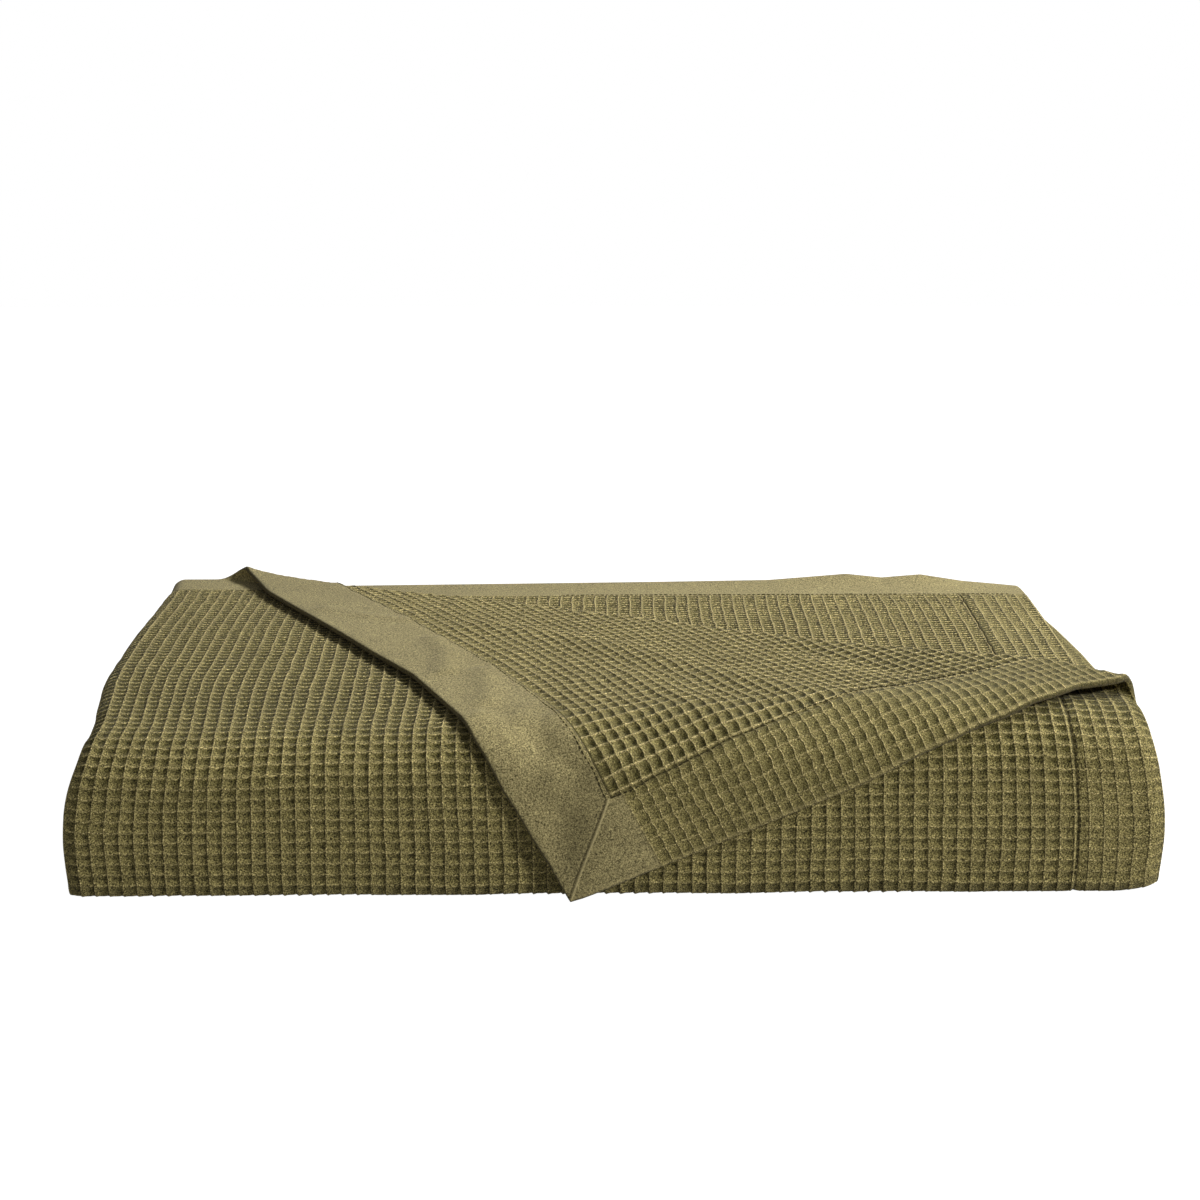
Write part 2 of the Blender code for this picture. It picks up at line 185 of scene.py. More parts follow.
HEM_RISE = 0.8
HEM_PIT_SHARE = 0.5
HEM_RIBS = 0.45  # how much of the turned-in layer's relief is long ribs, where the rest is cells
PLAIN_HEM_RISE = 0.5
TURNED_BAND_RISE = 0.3
SEAM_DEPTH = 0.9
SEAM_WIDTH = 1.3
MITRE_ENDS = BAND + 2
# Ridges and grooves: where, how wide, how high.
MITRE_PROFILE = ((-0.4, 0.9, 0.5), (1.2, 0.9, -0.9))
BAND_LIP = ((0.8, 1.0, 0.5), (4.5, 0.9, -0.5))
HEM_GAP_DEPTH = 0.8
EDGE_BULGE = 0.8
SECOND_REVERSE = 1.2
INNER_LOFT_SHARE = 0.84  # the inner plies fill this share of their room
INNER_PIT = 0.5
# how clear the painted highlight on the inner plies' crests is
INNER_CREST = 0.5
SHADE_GAIN = 1.6
FACE_CREST = {"along": (300, 420), "clear": (1.1, 0.6)}  # how clearly the painted highlight on the ridges' tops shows, clearer on the top than the front
FACE_SHADE = {"along": (330, 430), "dark": (1.3, 0.6)}  # how dark the painted shade in the pits is, darker on the top than on the front
# Painted shadow: the pits are darker and the crests' painted highlight duller in the hollow below the
# slanting fold's right end.
UNDER_FOLD_SHADOW = {"at": (560, 346), "reach": (75, 28), "dark": 2.4, "dull": 0.95}
EDGE_SHADOW = {"along": (0, 44, 45, 120, 230), "dark": (1, 1, 0.1, 0.3, 1)}  # painted shadow along the turned corner's edges
# How clear the crests' painted highlight is and how dark the pits' painted shade is, on the turned
# corner's reverse and on the second ply. The reverse's painted shade darkens further forward along the
# cloth.
REVERSE_CREST = 1.0
REVERSE_SHADE = {"along": (0, 130, 190, 240, 320), "dark": (0.8, 0.85, 1.0, 1.3, 1.4)}
SECOND_CREST = 1.5
SECOND_SHADE = 1.35
CROSS_BOW = 0.8  # ridges across the cloth hang forward by this much between two long ones
PULL_CELL = 0.22  # the weave out of square from cell to cell
PULL_WIDE = 0.9  # and over a dozen cells
PULL_STARTS = 12.0  # in from an edge, which stays true
PIT_UNEVEN = 0.16
LOFT_UNEVEN = 0.12
SEED = 11

# How far the fine mesh goes on past where a side shows.
FACE_UNDER_FOLD = 6
FACE_UNDER_CORNER = 16
FACE_UNDER_STACK = 6
REVERSE_PAST_FOLD = 8
SECOND_UNDER_FOLD = 14
SECOND_REVERSE_END = 20

# The stitches, in lines on a side of a ply: the line's ends as (u, s).
STITCH_LINES = (
    ("corner", (528, 46), (528, 272)),
    ("front", (528, 318), (528, 468)),
    ("corner", (88, 42.4), (526, 42.4)),
    ("second", (528, 50), (528, 250)),
    ("second", (260, 43.2), (560, 43.2)),
)
STITCH_SIZES = {"Pitch": 0.0032, "Length": 0.0027, "Radius": 0.00042, "Seed": SEED}
STITCH_SMALLEST = (0.6, 0.6, 0.55)  # shares of those sizes
STITCH_LARGEST = (1.25, 1.25, 1.2)
STITCH_LIFT = {"corner": 2.05, "front": 1.2, "second": 1.5}
STITCH_SWAY = 0.6  # a hand-guided line wavers by this much
SWAY_TURNS = (2.3, 7.1)
GUIDE_STEP = 2.0
SEAM_SLOPE_STEP = 0.5


def soft_step(low, high, x):
    share = np.clip((x - low) / (high - low), 0, 1)
    return share * share * (3 - 2 * share)


def bell(away, width):
    """1 where away is 0, and it fades to 0 on both sides."""
    return np.exp(-((away / width) ** 2))


def between(grid, i, j, a, b):
    """A grid's values at shares a and b of the way on from row i and column j."""
    near = grid[i, j] * (1 - a) + grid[i + 1, j] * a
    far = grid[i, j + 1] * (1 - a) + grid[i + 1, j + 1] * a
    return near * (1 - b) + far * b


def unit(vectors):
    return vectors / np.maximum(np.linalg.norm(vectors, axis=-1, keepdims=True), 1e-9)


def facing(surface, u, s, step):
    """Which way a surface faces, where surface(u, s) gives its points."""
    over = surface(u + step, s) - surface(u - step, s)
    forward = surface(u, s + step) - surface(u, s - step)
    return unit(np.cross(forward, over))


def across(name, u):
    return np.mean([np.interp(u + d, PROFILE["across"], PROFILE[name]) for d in PROFILE_BLEND], axis=0)


def top_level(u, t):
    """Height of the top ply's middle where it lies on the stack."""
    forward = np.clip((DEPTH - t) / DEPTH, 0, 1)
    return TOP_LEVEL - across("fall", u) * forward ** across("lateness", u)


def front_profile(u):
    """Points (t, z) of the top ply from its back edge over the front to the floor."""
    shoulder, face = across("shoulder", u), across("face", u)
    turn = np.linspace(0, math.pi / 2, PROFILE_POINTS["turn"])[1:]
    top = np.linspace(DEPTH, shoulder, PROFILE_POINTS["top"])
    t = np.concatenate([top, shoulder * (1 - np.sin(turn))])
    rounding = np.sqrt(np.clip(1 - (1 - np.minimum(t / shoulder, 1)) ** 2, 0, 1))
    z = face + (top_level(u, t) - face) * rounding
    down = np.linspace(face, FLOOR_LEVEL, PROFILE_POINTS["face"])[1:]
    t, z = np.append(t, np.zeros(len(down))), np.append(z, down)
    belly = np.sin(math.pi * np.clip((z - FLOOR_LEVEL) / (face + shoulder - FLOOR_LEVEL), 0, 1))
    return t - FACE_BELLY * belly * (t < shoulder) * (1 - np.clip(t / shoulder, 0, 1)), z


def profile_table():
    """The top ply's (t, z) on a grid of u and s, its face taken straight down to the floor."""
    us = np.linspace(0, WIDTH, TABLE_SIZE[0])
    ss = np.linspace(0, TO_FLOOR, TABLE_SIZE[1])
    grid = np.zeros((len(us), len(ss), 2))
    for i, u in enumerate(us):
        t, z = front_profile(u)
        length = np.concatenate([[0], np.cumsum(np.hypot(np.diff(t), np.diff(z)))])
        s = length / length[-1] * TO_FLOOR
        grid[i] = np.stack([np.interp(ss, s, t), np.interp(ss, s, z)], axis=-1)
    return grid


TABLE = profile_table()


def on_table(u, s):
    across_at = np.clip(u / WIDTH, 0, 1) * (TABLE.shape[0] - 1)
    along_at = np.clip(s / TO_FLOOR, 0, None) * (TABLE.shape[1] - 1)
    i = np.minimum(across_at.astype(int), TABLE.shape[0] - 2)
    j = np.minimum(along_at.astype(int), TABLE.shape[1] - 2)
    return between(TABLE, i, j, (across_at - i)[..., None], (along_at - j)[..., None])


def bed(u, s):
    """The top ply's middle surface without its rolled sides, as if it were never turned back."""
    place = on_table(u, s)
    behind = np.clip(-s, 0, None)
    near_left = np.clip(1 - u / SIDE_REACH, 0, 1) ** 2
    near_right = np.clip(1 - (WIDTH - u) / SIDE_REACH, 0, 1) ** 2
    shoulder = bell(s - SHOULDER_AT, SHOULDER_SPREAD)
    belly = SIDE_BELLY * bell(s - SIDE_BELLY_AT, SIDE_BELLY_SPREAD)
    drawn_left = (SHOULDER_PULL[0] * shoulder - belly) * near_left
    drawn_right = (SHOULDER_PULL[1] * shoulder - belly) * near_right
    drawn_left = drawn_left + np.interp(s, LEFT_EASE["along"], LEFT_EASE["in"]) * near_left
    x = u - HALF + drawn_left - drawn_right
    return np.stack([x, place[..., 0] + behind, place[..., 1]], axis=-1)


def rolled(u):
    strip = ROLL_RADIUS * ROLL_ANGLE
    left, right = np.clip(strip - u, 0, None), np.clip(u - (WIDTH - strip), 0, None)
    angle = (left + right) / ROLL_RADIUS
    inward = (left + right) - ROLL_RADIUS * np.sin(angle)
    return np.where(left > 0, inward, -inward), ROLL_RADIUS * (1 - np.cos(angle))


SLANT = math.atan2(FOLD_TO, WIDTH - FOLD_FROM)
FOLD_LENGTH = math.hypot(FOLD_TO, WIDTH - FOLD_FROM)
ALONG = np.array([math.cos(SLANT), math.sin(SLANT)])
INTO_PLY = np.array([-math.sin(SLANT), math.cos(SLANT)])


def fold_line(u):
    return np.clip(u - FOLD_FROM, 0, None) * math.tan(SLANT)


def fold_radius(along):
    left = FOLD_LIFT_LEFT * np.exp(-np.clip(along, 0, None) / FOLD_LIFT_LEFT_REACH)
    tight = FOLD_TIGHT * (1 - soft_step(*FOLD_TIGHT_SPAN, along))
    return FOLD_RADIUS - tight + left + FOLD_LIFT_RIGHT * soft_step(*FOLD_LIFT_RIGHT_SPAN, along)


def slack(u, s):
    """How far the turned corner's free edges bow out, sideways and backwards along the cloth."""
    line = fold_line(u)
    turned = np.clip(line - s, 0, None)
    near_back_edge = (turned / np.maximum(line, 1)) ** 2 * soft_step(0, SLACK_ROOM["back"], line)
    bow = np.sin(math.pi * np.clip((u - FOLD_FROM) / (WIDTH - FOLD_FROM), 0, 1) ** BACK_EDGE_BOW_EARLY)
    fold_u = FOLD_FROM + np.clip(s, 0, None) / math.tan(SLANT)
    room = WIDTH - fold_u
    near_side = (np.clip(u - fold_u, 0, None) / np.maximum(room, 1)) ** 2
    near_side = near_side * soft_step(0, SLACK_ROOM["side"], room)
    late = bell(s - SIDE_SWELL_AT, SIDE_SWELL_SPREAD)
    side_ease = np.interp(s, HEM_EDGE_EASE["along"], HEM_EDGE_EASE["out"])
    back_ease = np.interp(u, BAND_EDGE_EASE["across"], BAND_EDGE_EASE["out"])
    out_side = (SIDE_SWELL * late + side_ease) * near_side
    return out_side, (BACK_EDGE_BOW * bow + back_ease) * near_back_edge


def past_fold(u, s):
    """How far a place is past the slanting fold, on the turned corner; below 0 before the fold."""
    return -((u - FOLD_FROM) * INTO_PLY[0] + s * INTO_PLY[1])


def crease_rise(u, s):
    """How far the creases lift the turned corner at a place on the cloth."""
    rise = np.zeros(np.broadcast(u, s).shape)
    for line, reach, height in CREASES:
        nearest = np.full(rise.shape, np.inf)
        for (u0, s0), (u1, s1) in zip(line, line[1:]):
            du, ds = u1 - u0, s1 - s0
            share = np.clip(((u - u0) * du + (s - s0) * ds) / (du * du + ds * ds), 0, 1)
            nearest = np.minimum(nearest, np.hypot(u - u0 - share * du, s - s0 - share * ds))
        rise += height * bell(nearest, reach)
    return rise


def outer_middle(u, s):
    """The outer ply's middle surface, from its back edge to where it ends under the stack."""
    on_face = np.minimum(s, TO_FLOOR - FOOT_RADIUS)
    out_side, out_back = slack(u, on_face)
    flat = np.stack([u + out_side - FOLD_FROM, on_face - out_back], axis=-1)
    along, past = flat @ ALONG, -(flat @ INTO_PLY)
    radius = fold_radius(along)
    angle = np.clip(past / radius, -math.pi / 2, math.pi / 2)
    in_arc = np.abs(past) < radius * math.pi / 2
    away = np.where(in_arc, radius * (math.pi / 2 - np.cos(angle)), np.abs(past))
    beyond = np.clip(past - radius * math.pi / 2, 0, None)
    resting = FLAP_REST + (2 * radius - FLAP_REST) * np.exp(-beyond / FLAP_TAPER)
    height = np.where(in_arc, radius * (1 + np.sin(angle)), np.where(past > 0, resting, 0))
    height = height + crease_rise(u, s) * soft_step(0, CREASES_START, past)
    on_ply = along[..., None] * ALONG + away[..., None] * INTO_PLY
    u_at, s_at = on_ply[..., 0] + FOLD_FROM, on_ply[..., 1]
    edge_in, edge_down = rolled(u)
    before_fold = soft_step(radius * math.pi / 2, -10, past)
    lift = (height - edge_down * before_fold)[..., None]
    point = bed(u_at, s_at) + facing(bed, u_at, s_at, SLOPE_STEP) * lift
    point[..., 0] += edge_in * before_fold
    at_end = bell(s_at - FOLD_TO, FOLD_END_DROOP_SPREAD)
    point[..., 2] -= FOLD_END_DROOP * at_end * soft_step(FOLD_END_DROOP_FROM, WIDTH, u_at)
    sag = FOLD_SAG * np.sin(math.pi * np.clip(along / FOLD_LENGTH, 0, 1) ** FOLD_SAG_EARLY)
    point[..., 1] -= sag * bell(past, FOLD_SAG_REACH)
    under = np.clip(s - (TO_FLOOR - FOOT_RADIUS), 0, None)
    turn = np.minimum(under / FOOT_RADIUS, math.pi / 2)
    flat_run = np.clip(under - FOOT_RADIUS * math.pi / 2, 0, None)
    point[..., 1] += FOOT_RADIUS * (1 - np.cos(turn)) + flat_run
    point[..., 2] = FLOOR_LEVEL + (point[..., 2] - FLOOR_LEVEL) * (1 - np.sin(turn))
    near_corner = np.clip((u - FOOT_LIFT_FROM) / (WIDTH - FOOT_LIFT_FROM), 0, 1) ** 2
    point[..., 2] += FOOT_LIFT * near_corner * soft_step(TO_FLOOR - FOOT_LIFT_HEIGHT, TO_FLOOR, s)
    return point


def ply_level(ply, u, t):
    share = (ply - 1) / (PLIES - 1)
    return FLOOR_LEVEL + share * (top_level(u, t) - FLOOR_LEVEL)


def wander(edge, ply, at):
    turn, length = WANDER[edge]
    return np.sin(turn * ply + at / length)


def inner_point(ply, share, t):
    """Points on an inner ply, at shares of the way from its left side to its right side."""
    drawn = bell(DEPTH - t - SHOULDER_AT, SHOULDER_SPREAD)
    left = -HALF + INSET_LEFT + SIDE_UNEVEN * wander("left", ply, t) + SHOULDER_PULL[0] * drawn
    right = HALF - INSET_RIGHT - SIDE_UNEVEN * wander("right", ply, t) - SHOULDER_PULL[1] * drawn
    if ply == PLIES - 1:
        forward = np.clip((DEPTH - t) / SECOND_PLY_TAPER_REACH, 0, 1)
        right = HALF - SECOND_PLY_INSET - SECOND_PLY_TAPER * forward
    x = left + (right - left) * share
    return np.stack([x, t + 0 * x, ply_level(ply, x + HALF, t)], axis=-1)


def front_centre(ply, u):
    t, z = front_profile(u)
    low, high = ply_level(ply, u, FRONT_FOLD_TRIES), ply_level(ply + 1, u, FRONT_FOLD_TRIES)
    radius = (high - low) / 2
    reach = np.hypot(t[:, None] - FRONT_FOLD_TRIES, z[:, None] - (low + high) / 2).min(axis=0)
    blocked = np.flatnonzero(reach < radius + THICK + PLY_GAP)
    clear = FRONT_FOLD_TRIES[blocked[-1]] + FRONT_FOLD_ROOM
    return clear + FOLD_UNEVEN * (1 + wander("front", ply, u))


def back_centre(ply, u):
    radius = (ply_level(ply + 1, u, DEPTH) - ply_level(ply, u, DEPTH)) / 2
    return DEPTH - THICK - radius - FOLD_UNEVEN * (1 + wander("back", ply, u))


# ---- the weave's relief


def waffle_depth(over_ridges, over_cross_ridges):
    """0 on a ridge and 1 at the bottom of a pit, from places counted in cells. A pit slopes down
    slowly from one ridge and rises steeply to the next, and the ridges across it stand lower."""
    nudge = 1e-6
    wall = np.interp((over_ridges + nudge) % 1, SLOPE["at"], SLOPE["depth"])
    cross_wall = np.interp((over_cross_ridges + nudge) % 1, CROSS_SLOPE["at"], CROSS_SLOPE["depth"])
    return np.clip(wall * cross_wall, 0, 1)


def pit_shade(depth, plain, strength):
    """How strong the painted shade in the pits is, which the material draws cell by cell."""
    return strength * np.minimum(SHADE_GAIN * depth, 1) * (1 - plain)


def face_relief(grid, pit):
    """A ply's outer face: its height over the cloth's middle, then the values of LABELS but the last.
    It has an end band along its back edge, and a hem behind its right side."""
    u, s = grid.u, grid.s
    plain = soft_step(BAND + BAND_BLEND, BAND - BAND_BLEND, s)
    over_hem = soft_step(WIDTH - BAND - HEM_BLEND, WIDTH - BAND + HEM_BLEND, u)
    depth = waffle_depth(grid.cell_u, grid.cell_s) * (1 - HEM_FILLS_PITS * over_hem)
    height = (LOFT - pit * depth) * (1 - plain) + BAND_LOFT * plain
    height = height - SEAM_DEPTH * bell(u - (WIDTH - BAND), SEAM_WIDTH) * (1 - plain)
    # Painted shadow in the hollow below the slanting fold's right end.
    (hollow_u, hollow_s), (reach_u, reach_s) = UNDER_FOLD_SHADOW["at"], UNDER_FOLD_SHADOW["reach"]
    hollow = bell(u - hollow_u, reach_u) * bell(s - hollow_s, reach_s)
    # How clear the crests' painted highlight is, and how dark the pits' painted shade is, lighter over
    # the hem.
    clear = np.interp(s, FACE_CREST["along"], FACE_CREST["clear"])
    clear = clear * (1 - UNDER_FOLD_SHADOW["dull"] * hollow)
    dark = np.interp(s, FACE_SHADE["along"], FACE_SHADE["dark"]) * (1 - HEM_LIGHTENS * over_hem)
    dark = dark + UNDER_FOLD_SHADOW["dark"] * hollow
    return height, pit_shade(depth, plain, dark), plain, clear, 0 * u


def reverse_relief(grid, pit):
    """The reverse, as face_relief gives the face: the turned-in band and hem lie on it, and they meet
    in a mitre."""
    u, s = grid.u, grid.s
    from_side = WIDTH - u
    in_band = (s < BAND) & (s < from_side)
    in_hem = (from_side < BAND) & ~in_band
    turned_plain = soft_step(PLAIN_IN_HEM + BAND_BLEND, PLAIN_IN_HEM - BAND_BLEND, s)
    plain = np.where(in_band, 1.0, np.where(in_hem, turned_plain, 0.0))
    depth = waffle_depth(grid.cell_s, grid.cell_u)
    ribs = waffle_depth(grid.cell_s, 0.5)
    hem_depth = HEM_RIBS * ribs + (1 - HEM_RIBS) * depth
    hem = LOFT + HEM_RISE - PIT * HEM_PIT_SHARE * hem_depth
    hem = hem * (1 - plain) + (LOFT + PLAIN_HEM_RISE) * plain
    height = np.where(in_hem, hem, LOFT - pit * depth)
    height = np.where(in_band, LOFT + TURNED_BAND_RISE, height)
    off_mitre = (s - from_side) / math.sqrt(2)
    at_mitre = (s < MITRE_ENDS) & (from_side < MITRE_ENDS)
    for place, width, rise in MITRE_PROFILE:
        height = height + rise * bell(off_mitre - place, width) * at_mitre
    beside_hem = from_side > BAND
    for place, width, rise in BAND_LIP:
        height = height + rise * np.where(beside_hem, bell(s - (BAND - place), width), 0)
    height = height - HEM_GAP_DEPTH * np.where(s > BAND, bell(from_side - BAND, SEAM_WIDTH), 0)
    dark = np.interp(s, REVERSE_SHADE["along"], REVERSE_SHADE["dark"])
    pitted = pit_shade(np.where(in_hem, hem_depth, depth), plain, dark)
    return height, pitted, plain, REVERSE_CREST + 0 * u, 1 + 0 * u


def raised(relief, higher):
    """The relief with its woven part made higher by these numbers."""
    height, pitted, plain, *rest = relief
    return (height + higher * (1 - plain), pitted, plain, *rest)


def unevenness(shape, step_u, step_s, size, seed):
    """Smooth random numbers over a grid, from a coarse grid of them."""
    random = np.random.default_rng(seed)
    coarse = random.normal(0, size, (shape[0] // step_u + 2, shape[1] // step_s + 2))
    at_u = np.arange(shape[0])[:, None] / step_u
    at_s = np.arange(shape[1]) / step_s
    i, j = at_u.astype(int), at_s.astype(int)
    return between(coarse, i, j, soft_step(0, 1, at_u - i), soft_step(0, 1, at_s - j))


def loose_weave(cell_u, seed):
    """The weave's unevenness on a grid: how far it is pulled across and along the cloth, in mm, and
    its pits' depth and its ridges' height, as shares of what they are."""
    shape, (count_u, count_s) = cell_u.shape, POINTS_IN_CELL
    cell = (2 * count_u, 2 * count_s)
    wide = (9 * count_u, 12 * count_s)
    pulled_u = unevenness(shape, *cell, PULL_CELL, seed)
    pulled_u = pulled_u + unevenness(shape, *wide, PULL_WIDE, seed + 1)
    pulled_s = unevenness(shape, *cell, PULL_CELL, seed + 2)
    pulled_s = pulled_s + unevenness(shape, *wide, PULL_WIDE, seed + 3)
    pulled_s = pulled_s + CROSS_BOW * np.sin(math.pi * cell_u) ** 2
    deeper = 1 + unevenness(shape, count_u, count_s, PIT_UNEVEN, seed + 4)
    higher = unevenness(shape, *cell, LOFT_UNEVEN, seed + 5)
    return pulled_u, pulled_s, deeper, higher


def lattice(cell_edges, fractions):
    """Grid lines through the cells: every cell's own lines, and the last cell's far edge."""
    edges = np.asarray(cell_edges, float)
    lines = edges[:-1, None] + np.asarray(fractions) * np.diff(edges)[:, None]
    return np.append(lines.ravel(), edges[-1])


def woven_grid(length, seed):
    """The grid of a ply of this length that starts with its end band: its points as they lie flat, in
    mm and in cells, as the loose weave pulls them, and the middle of each cell."""
    u_edges = np.linspace(0, WIDTH, CELLS_ACROSS + 1)
    rows = int(round((length - BAND) / CELL_ROW))
    band_edges = np.linspace(0, BAND, BAND_ROWS + 1)[:-1]
    s_edges = np.append(band_edges, BAND + CELL_ROW * np.arange(rows + 1))
    lines_u, lines_s = lattice(u_edges, COLUMN_FRACTIONS), lattice(s_edges, ROW_FRACTIONS)
    u, s = np.meshgrid(lines_u, lines_s, indexing="ij")
    cell_u, cell_s = u / CELL, (s - BAND) / CELL_ROW
    pulled_u, pulled_s, deeper, higher = loose_weave(cell_u, seed)
    from_sides = np.clip(np.minimum(u, WIDTH - u) / PULL_STARTS, 0, 1)
    inside = from_sides * np.clip((s - BAND) / PULL_STARTS, 0, 1)
    middle_u, middle_s = (u_edges[1:] + u_edges[:-1]) / 2, (s_edges[1:] + s_edges[:-1]) / 2
    return SimpleNamespace(
        u=u,
        s=s,
        cell_u=cell_u,
        cell_s=cell_s,
        pulled=(u + pulled_u * inside, s + pulled_s * inside),
        deeper=deeper,
        higher=higher,
        cell_middles=(middle_u[:, None], middle_s[None, :]),
        places=np.stack([cell_u, cell_s], axis=-1),
    )


# ---- sheets


# What the cloth's material reads at each point: how dark the painted shade in its pit is, how much of
# it is plain weave, how clear the painted highlight on its crest is, whether it is on the turned
# corner's reverse, and how dark the painted shadow along a cut edge is.
LABELS = ("pit", "plain", "crest", "turned", "edge")


def side_faces(fine, count_u, count_s):
    """One side's faces: a fine cell has all its grid, any other is one polygon that takes in its fine
    neighbours' points. Also which grid points are used."""
    cells_u, cells_s = fine.shape
    used = np.zeros((cells_u * count_u + 1, cells_s * count_s + 1), bool)
    used[::count_u, ::count_s] = True
    used[[0, -1], :] = True
    used[:, [0, -1]] = True
    for i, j in zip(*np.nonzero(fine)):
        used[i * count_u : (i + 1) * count_u + 1, j * count_s : (j + 1) * count_s + 1] = True
    number = np.cumsum(used.ravel()).reshape(used.shape) - 1
    quads, polygons = [], []
    for i in range(cells_u):
        for j in range(cells_s):
            u0, s0 = i * count_u, j * count_s
            u1, s1 = u0 + count_u, s0 + count_s
            if fine[i, j]:
                block = number[u0 : u1 + 1, s0 : s1 + 1]
                corners = [block[:-1, :-1], block[1:, :-1], block[1:, 1:], block[:-1, 1:]]
                quads.append(np.stack([corner.ravel() for corner in corners], axis=-1))
            else:
                ring = [(u, s0) for u in range(u0, u1)] + [(u1, s) for s in range(s0, s1)]
                ring += [(u, s1) for u in range(u1, u0, -1)] + [(u0, s) for s in range(s1, s0, -1)]
                polygons.append([number[place] for place in ring if used[place]])
    return used, number, np.concatenate(quads).tolist() + polygons


def edge_loop(rows, columns):
    """The places round a grid's edge, in order."""
    loop = [(i, 0) for i in range(rows - 1)] + [(rows - 1, j) for j in range(columns - 1)]
    loop += [(i, columns - 1) for i in range(rows - 1, 0, -1)]
    return loop + [(0, j) for j in range(columns - 1, 0, -1)]


def sheet_mesh(name, middle, face, reverse, counts, flat_places, painted_edge_shadow):
    """A closed mesh from a grid of middle points. face and reverse are each a side's relief and which
    of its cells show, which have the whole grid. Its rim takes painted shadow by painted_edge_shadow."""
    normal = unit(np.cross(np.gradient(middle, axis=1), np.gradient(middle, axis=0)))
    outward = np.zeros_like(middle)
    outward[0], outward[-1] = middle[0] - middle[1], middle[-1] - middle[-2]
    outward[:, 0] += middle[:, 0] - middle[:, 1]
    outward[:, -1] += middle[:, -1] - middle[:, -2]
    outward = unit(outward)
    points, values, places, faces, numbers = [], [], [], [], []
    for ((height, *looks), fine), way in ((face, 1), (reverse, -1)):
        used, number, side = side_faces(fine, *counts)
        start = sum(len(block) for block in points)
        points.append((middle + normal * (way * height)[..., None])[used])
        values.append(np.stack([look[used] for look in (*looks, 0 * height)], axis=-1))
        places.append(flat_places[used])
        faces += [[start + corner for corner in (ring[::-1] if way > 0 else ring)] for ring in side]
        numbers.append(number + start)
    at = tuple(np.array(edge_loop(*middle.shape[:2])).T)
    rows = [numbers[0][at]]
    start = sum(len(block) for block in points)
    (top, _, top_plain, *_), (bottom, _, bottom_plain, _, turned) = face[0], reverse[0]
    for turn in (math.pi / 4, math.pi / 2, 3 * math.pi / 4):
        share = (1 + math.cos(turn)) / 2
        height = top[at] * share - bottom[at] * (1 - share)
        bulge = EDGE_BULGE * LOFT * math.sin(turn)
        points.append(middle[at] + normal[at] * height[:, None] + outward[at] * bulge)
        edge_plain = (top_plain[at] + bottom_plain[at]) / 2
        none = 0 * height
        values.append(np.stack([none, edge_plain, none, turned[at], painted_edge_shadow[at]], axis=-1))
        places.append(flat_places[at] + [0, 0.001 * turn])
        rows.append(np.arange(len(height)) + start)
        start += len(height)
    rows.append(numbers[1][at])
    for upper, lower in zip(rows, rows[1:]):
        faces += np.stack([upper, np.roll(upper, -1), np.roll(lower, -1), lower], axis=-1).tolist()
    points = np.concatenate(points)
    points[:, 2] = np.maximum(points[:, 2], 0)
    return finished_mesh(name, in_frame(points), faces, np.concatenate(values), np.concatenate(places))


def in_frame(points):
    """Points in metres from the frame's origin, from points in mm from the stack's."""
    return (points - [MIDDLE_X, MIDDLE_T, 0]) * 0.001


def finished_mesh(name, points, faces, values, places):
    data = bpy.data.meshes.new(name)
    data.from_pydata(points.tolist(), [], faces)
    data.validate()
    for column, label in enumerate(LABELS):
        attribute = data.attributes.new(label, "FLOAT", "POINT")
        attribute.data.foreach_set("value", values[:, column].astype(np.float32))
    corner_points = np.zeros(len(data.loops), np.int32)
    data.loops.foreach_get("vertex_index", corner_points)
    layer = data.uv_layers.new(name="cloth")
    layer.data.foreach_set("uv", places[corner_points].astype(np.float32).ravel())
    data.shade_smooth()
    return in_scene(name, data)


def in_scene(name, data):
    thing = bpy.data.objects.new(name, data)
    bpy.context.scene.collection.objects.link(thing)
    return thing


# ---- pieces


def corner_reach(u):
    """How far forward the turned corner covers the ply below it, at u."""
    tip_u = FOLD_FROM + (WIDTH - FOLD_FROM) * math.cos(2 * SLANT)
    tip_s = (WIDTH - FOLD_FROM) * math.sin(2 * SLANT)
    return np.interp(u, (FOLD_FROM, tip_u, WIDTH), (0, tip_s, FOLD_TO))


def outer_ply():
    grid = woven_grid(OUTER_LENGTH, SEED)
    from_fold = np.abs(past_fold(grid.u, grid.s))
    pit = grid.deeper * (PIT_AT_FOLD + (PIT - PIT_AT_FOLD) * soft_step(*PIT_DEEPENS, from_fold))
    face = raised(face_relief(grid, pit), grid.higher)
    reverse = raised(reverse_relief(grid, DEEPER["corner"] * pit), grid.higher)
    u, s = grid.cell_middles
    past = past_fold(u, s)
    bare = (s > corner_reach(u) - FACE_UNDER_CORNER) | (u < FOLD_FROM + FACE_UNDER_FOLD)
    face_shows = bare & (past < FACE_UNDER_FOLD) & (s < TO_FLOOR + FACE_UNDER_STACK)
    # Painted shadow along the turned corner's cut edges.
    painted_edge_shadow = np.interp(grid.s, EDGE_SHADOW["along"], EDGE_SHADOW["dark"])
    middle = outer_middle(*grid.pulled)
    sides = ((face, face_shows), (reverse, past > -REVERSE_PAST_FOLD))
    return sheet_mesh("outer_ply", middle, *sides, POINTS_IN_CELL, grid.places, painted_edge_shadow)


def second_middle(u, s):
    """The second ply's middle surface, with the waves of its back edge."""
    point = inner_point(PLIES - 1, u / WIDTH, DEPTH - s)
    lift = np.interp(point[..., 0] + HALF, WAVES["across"], WAVES["lift"])
    point[..., 2] += lift * np.clip(1 - s / WAVE_REACH, 0, 1) ** 2
    return point


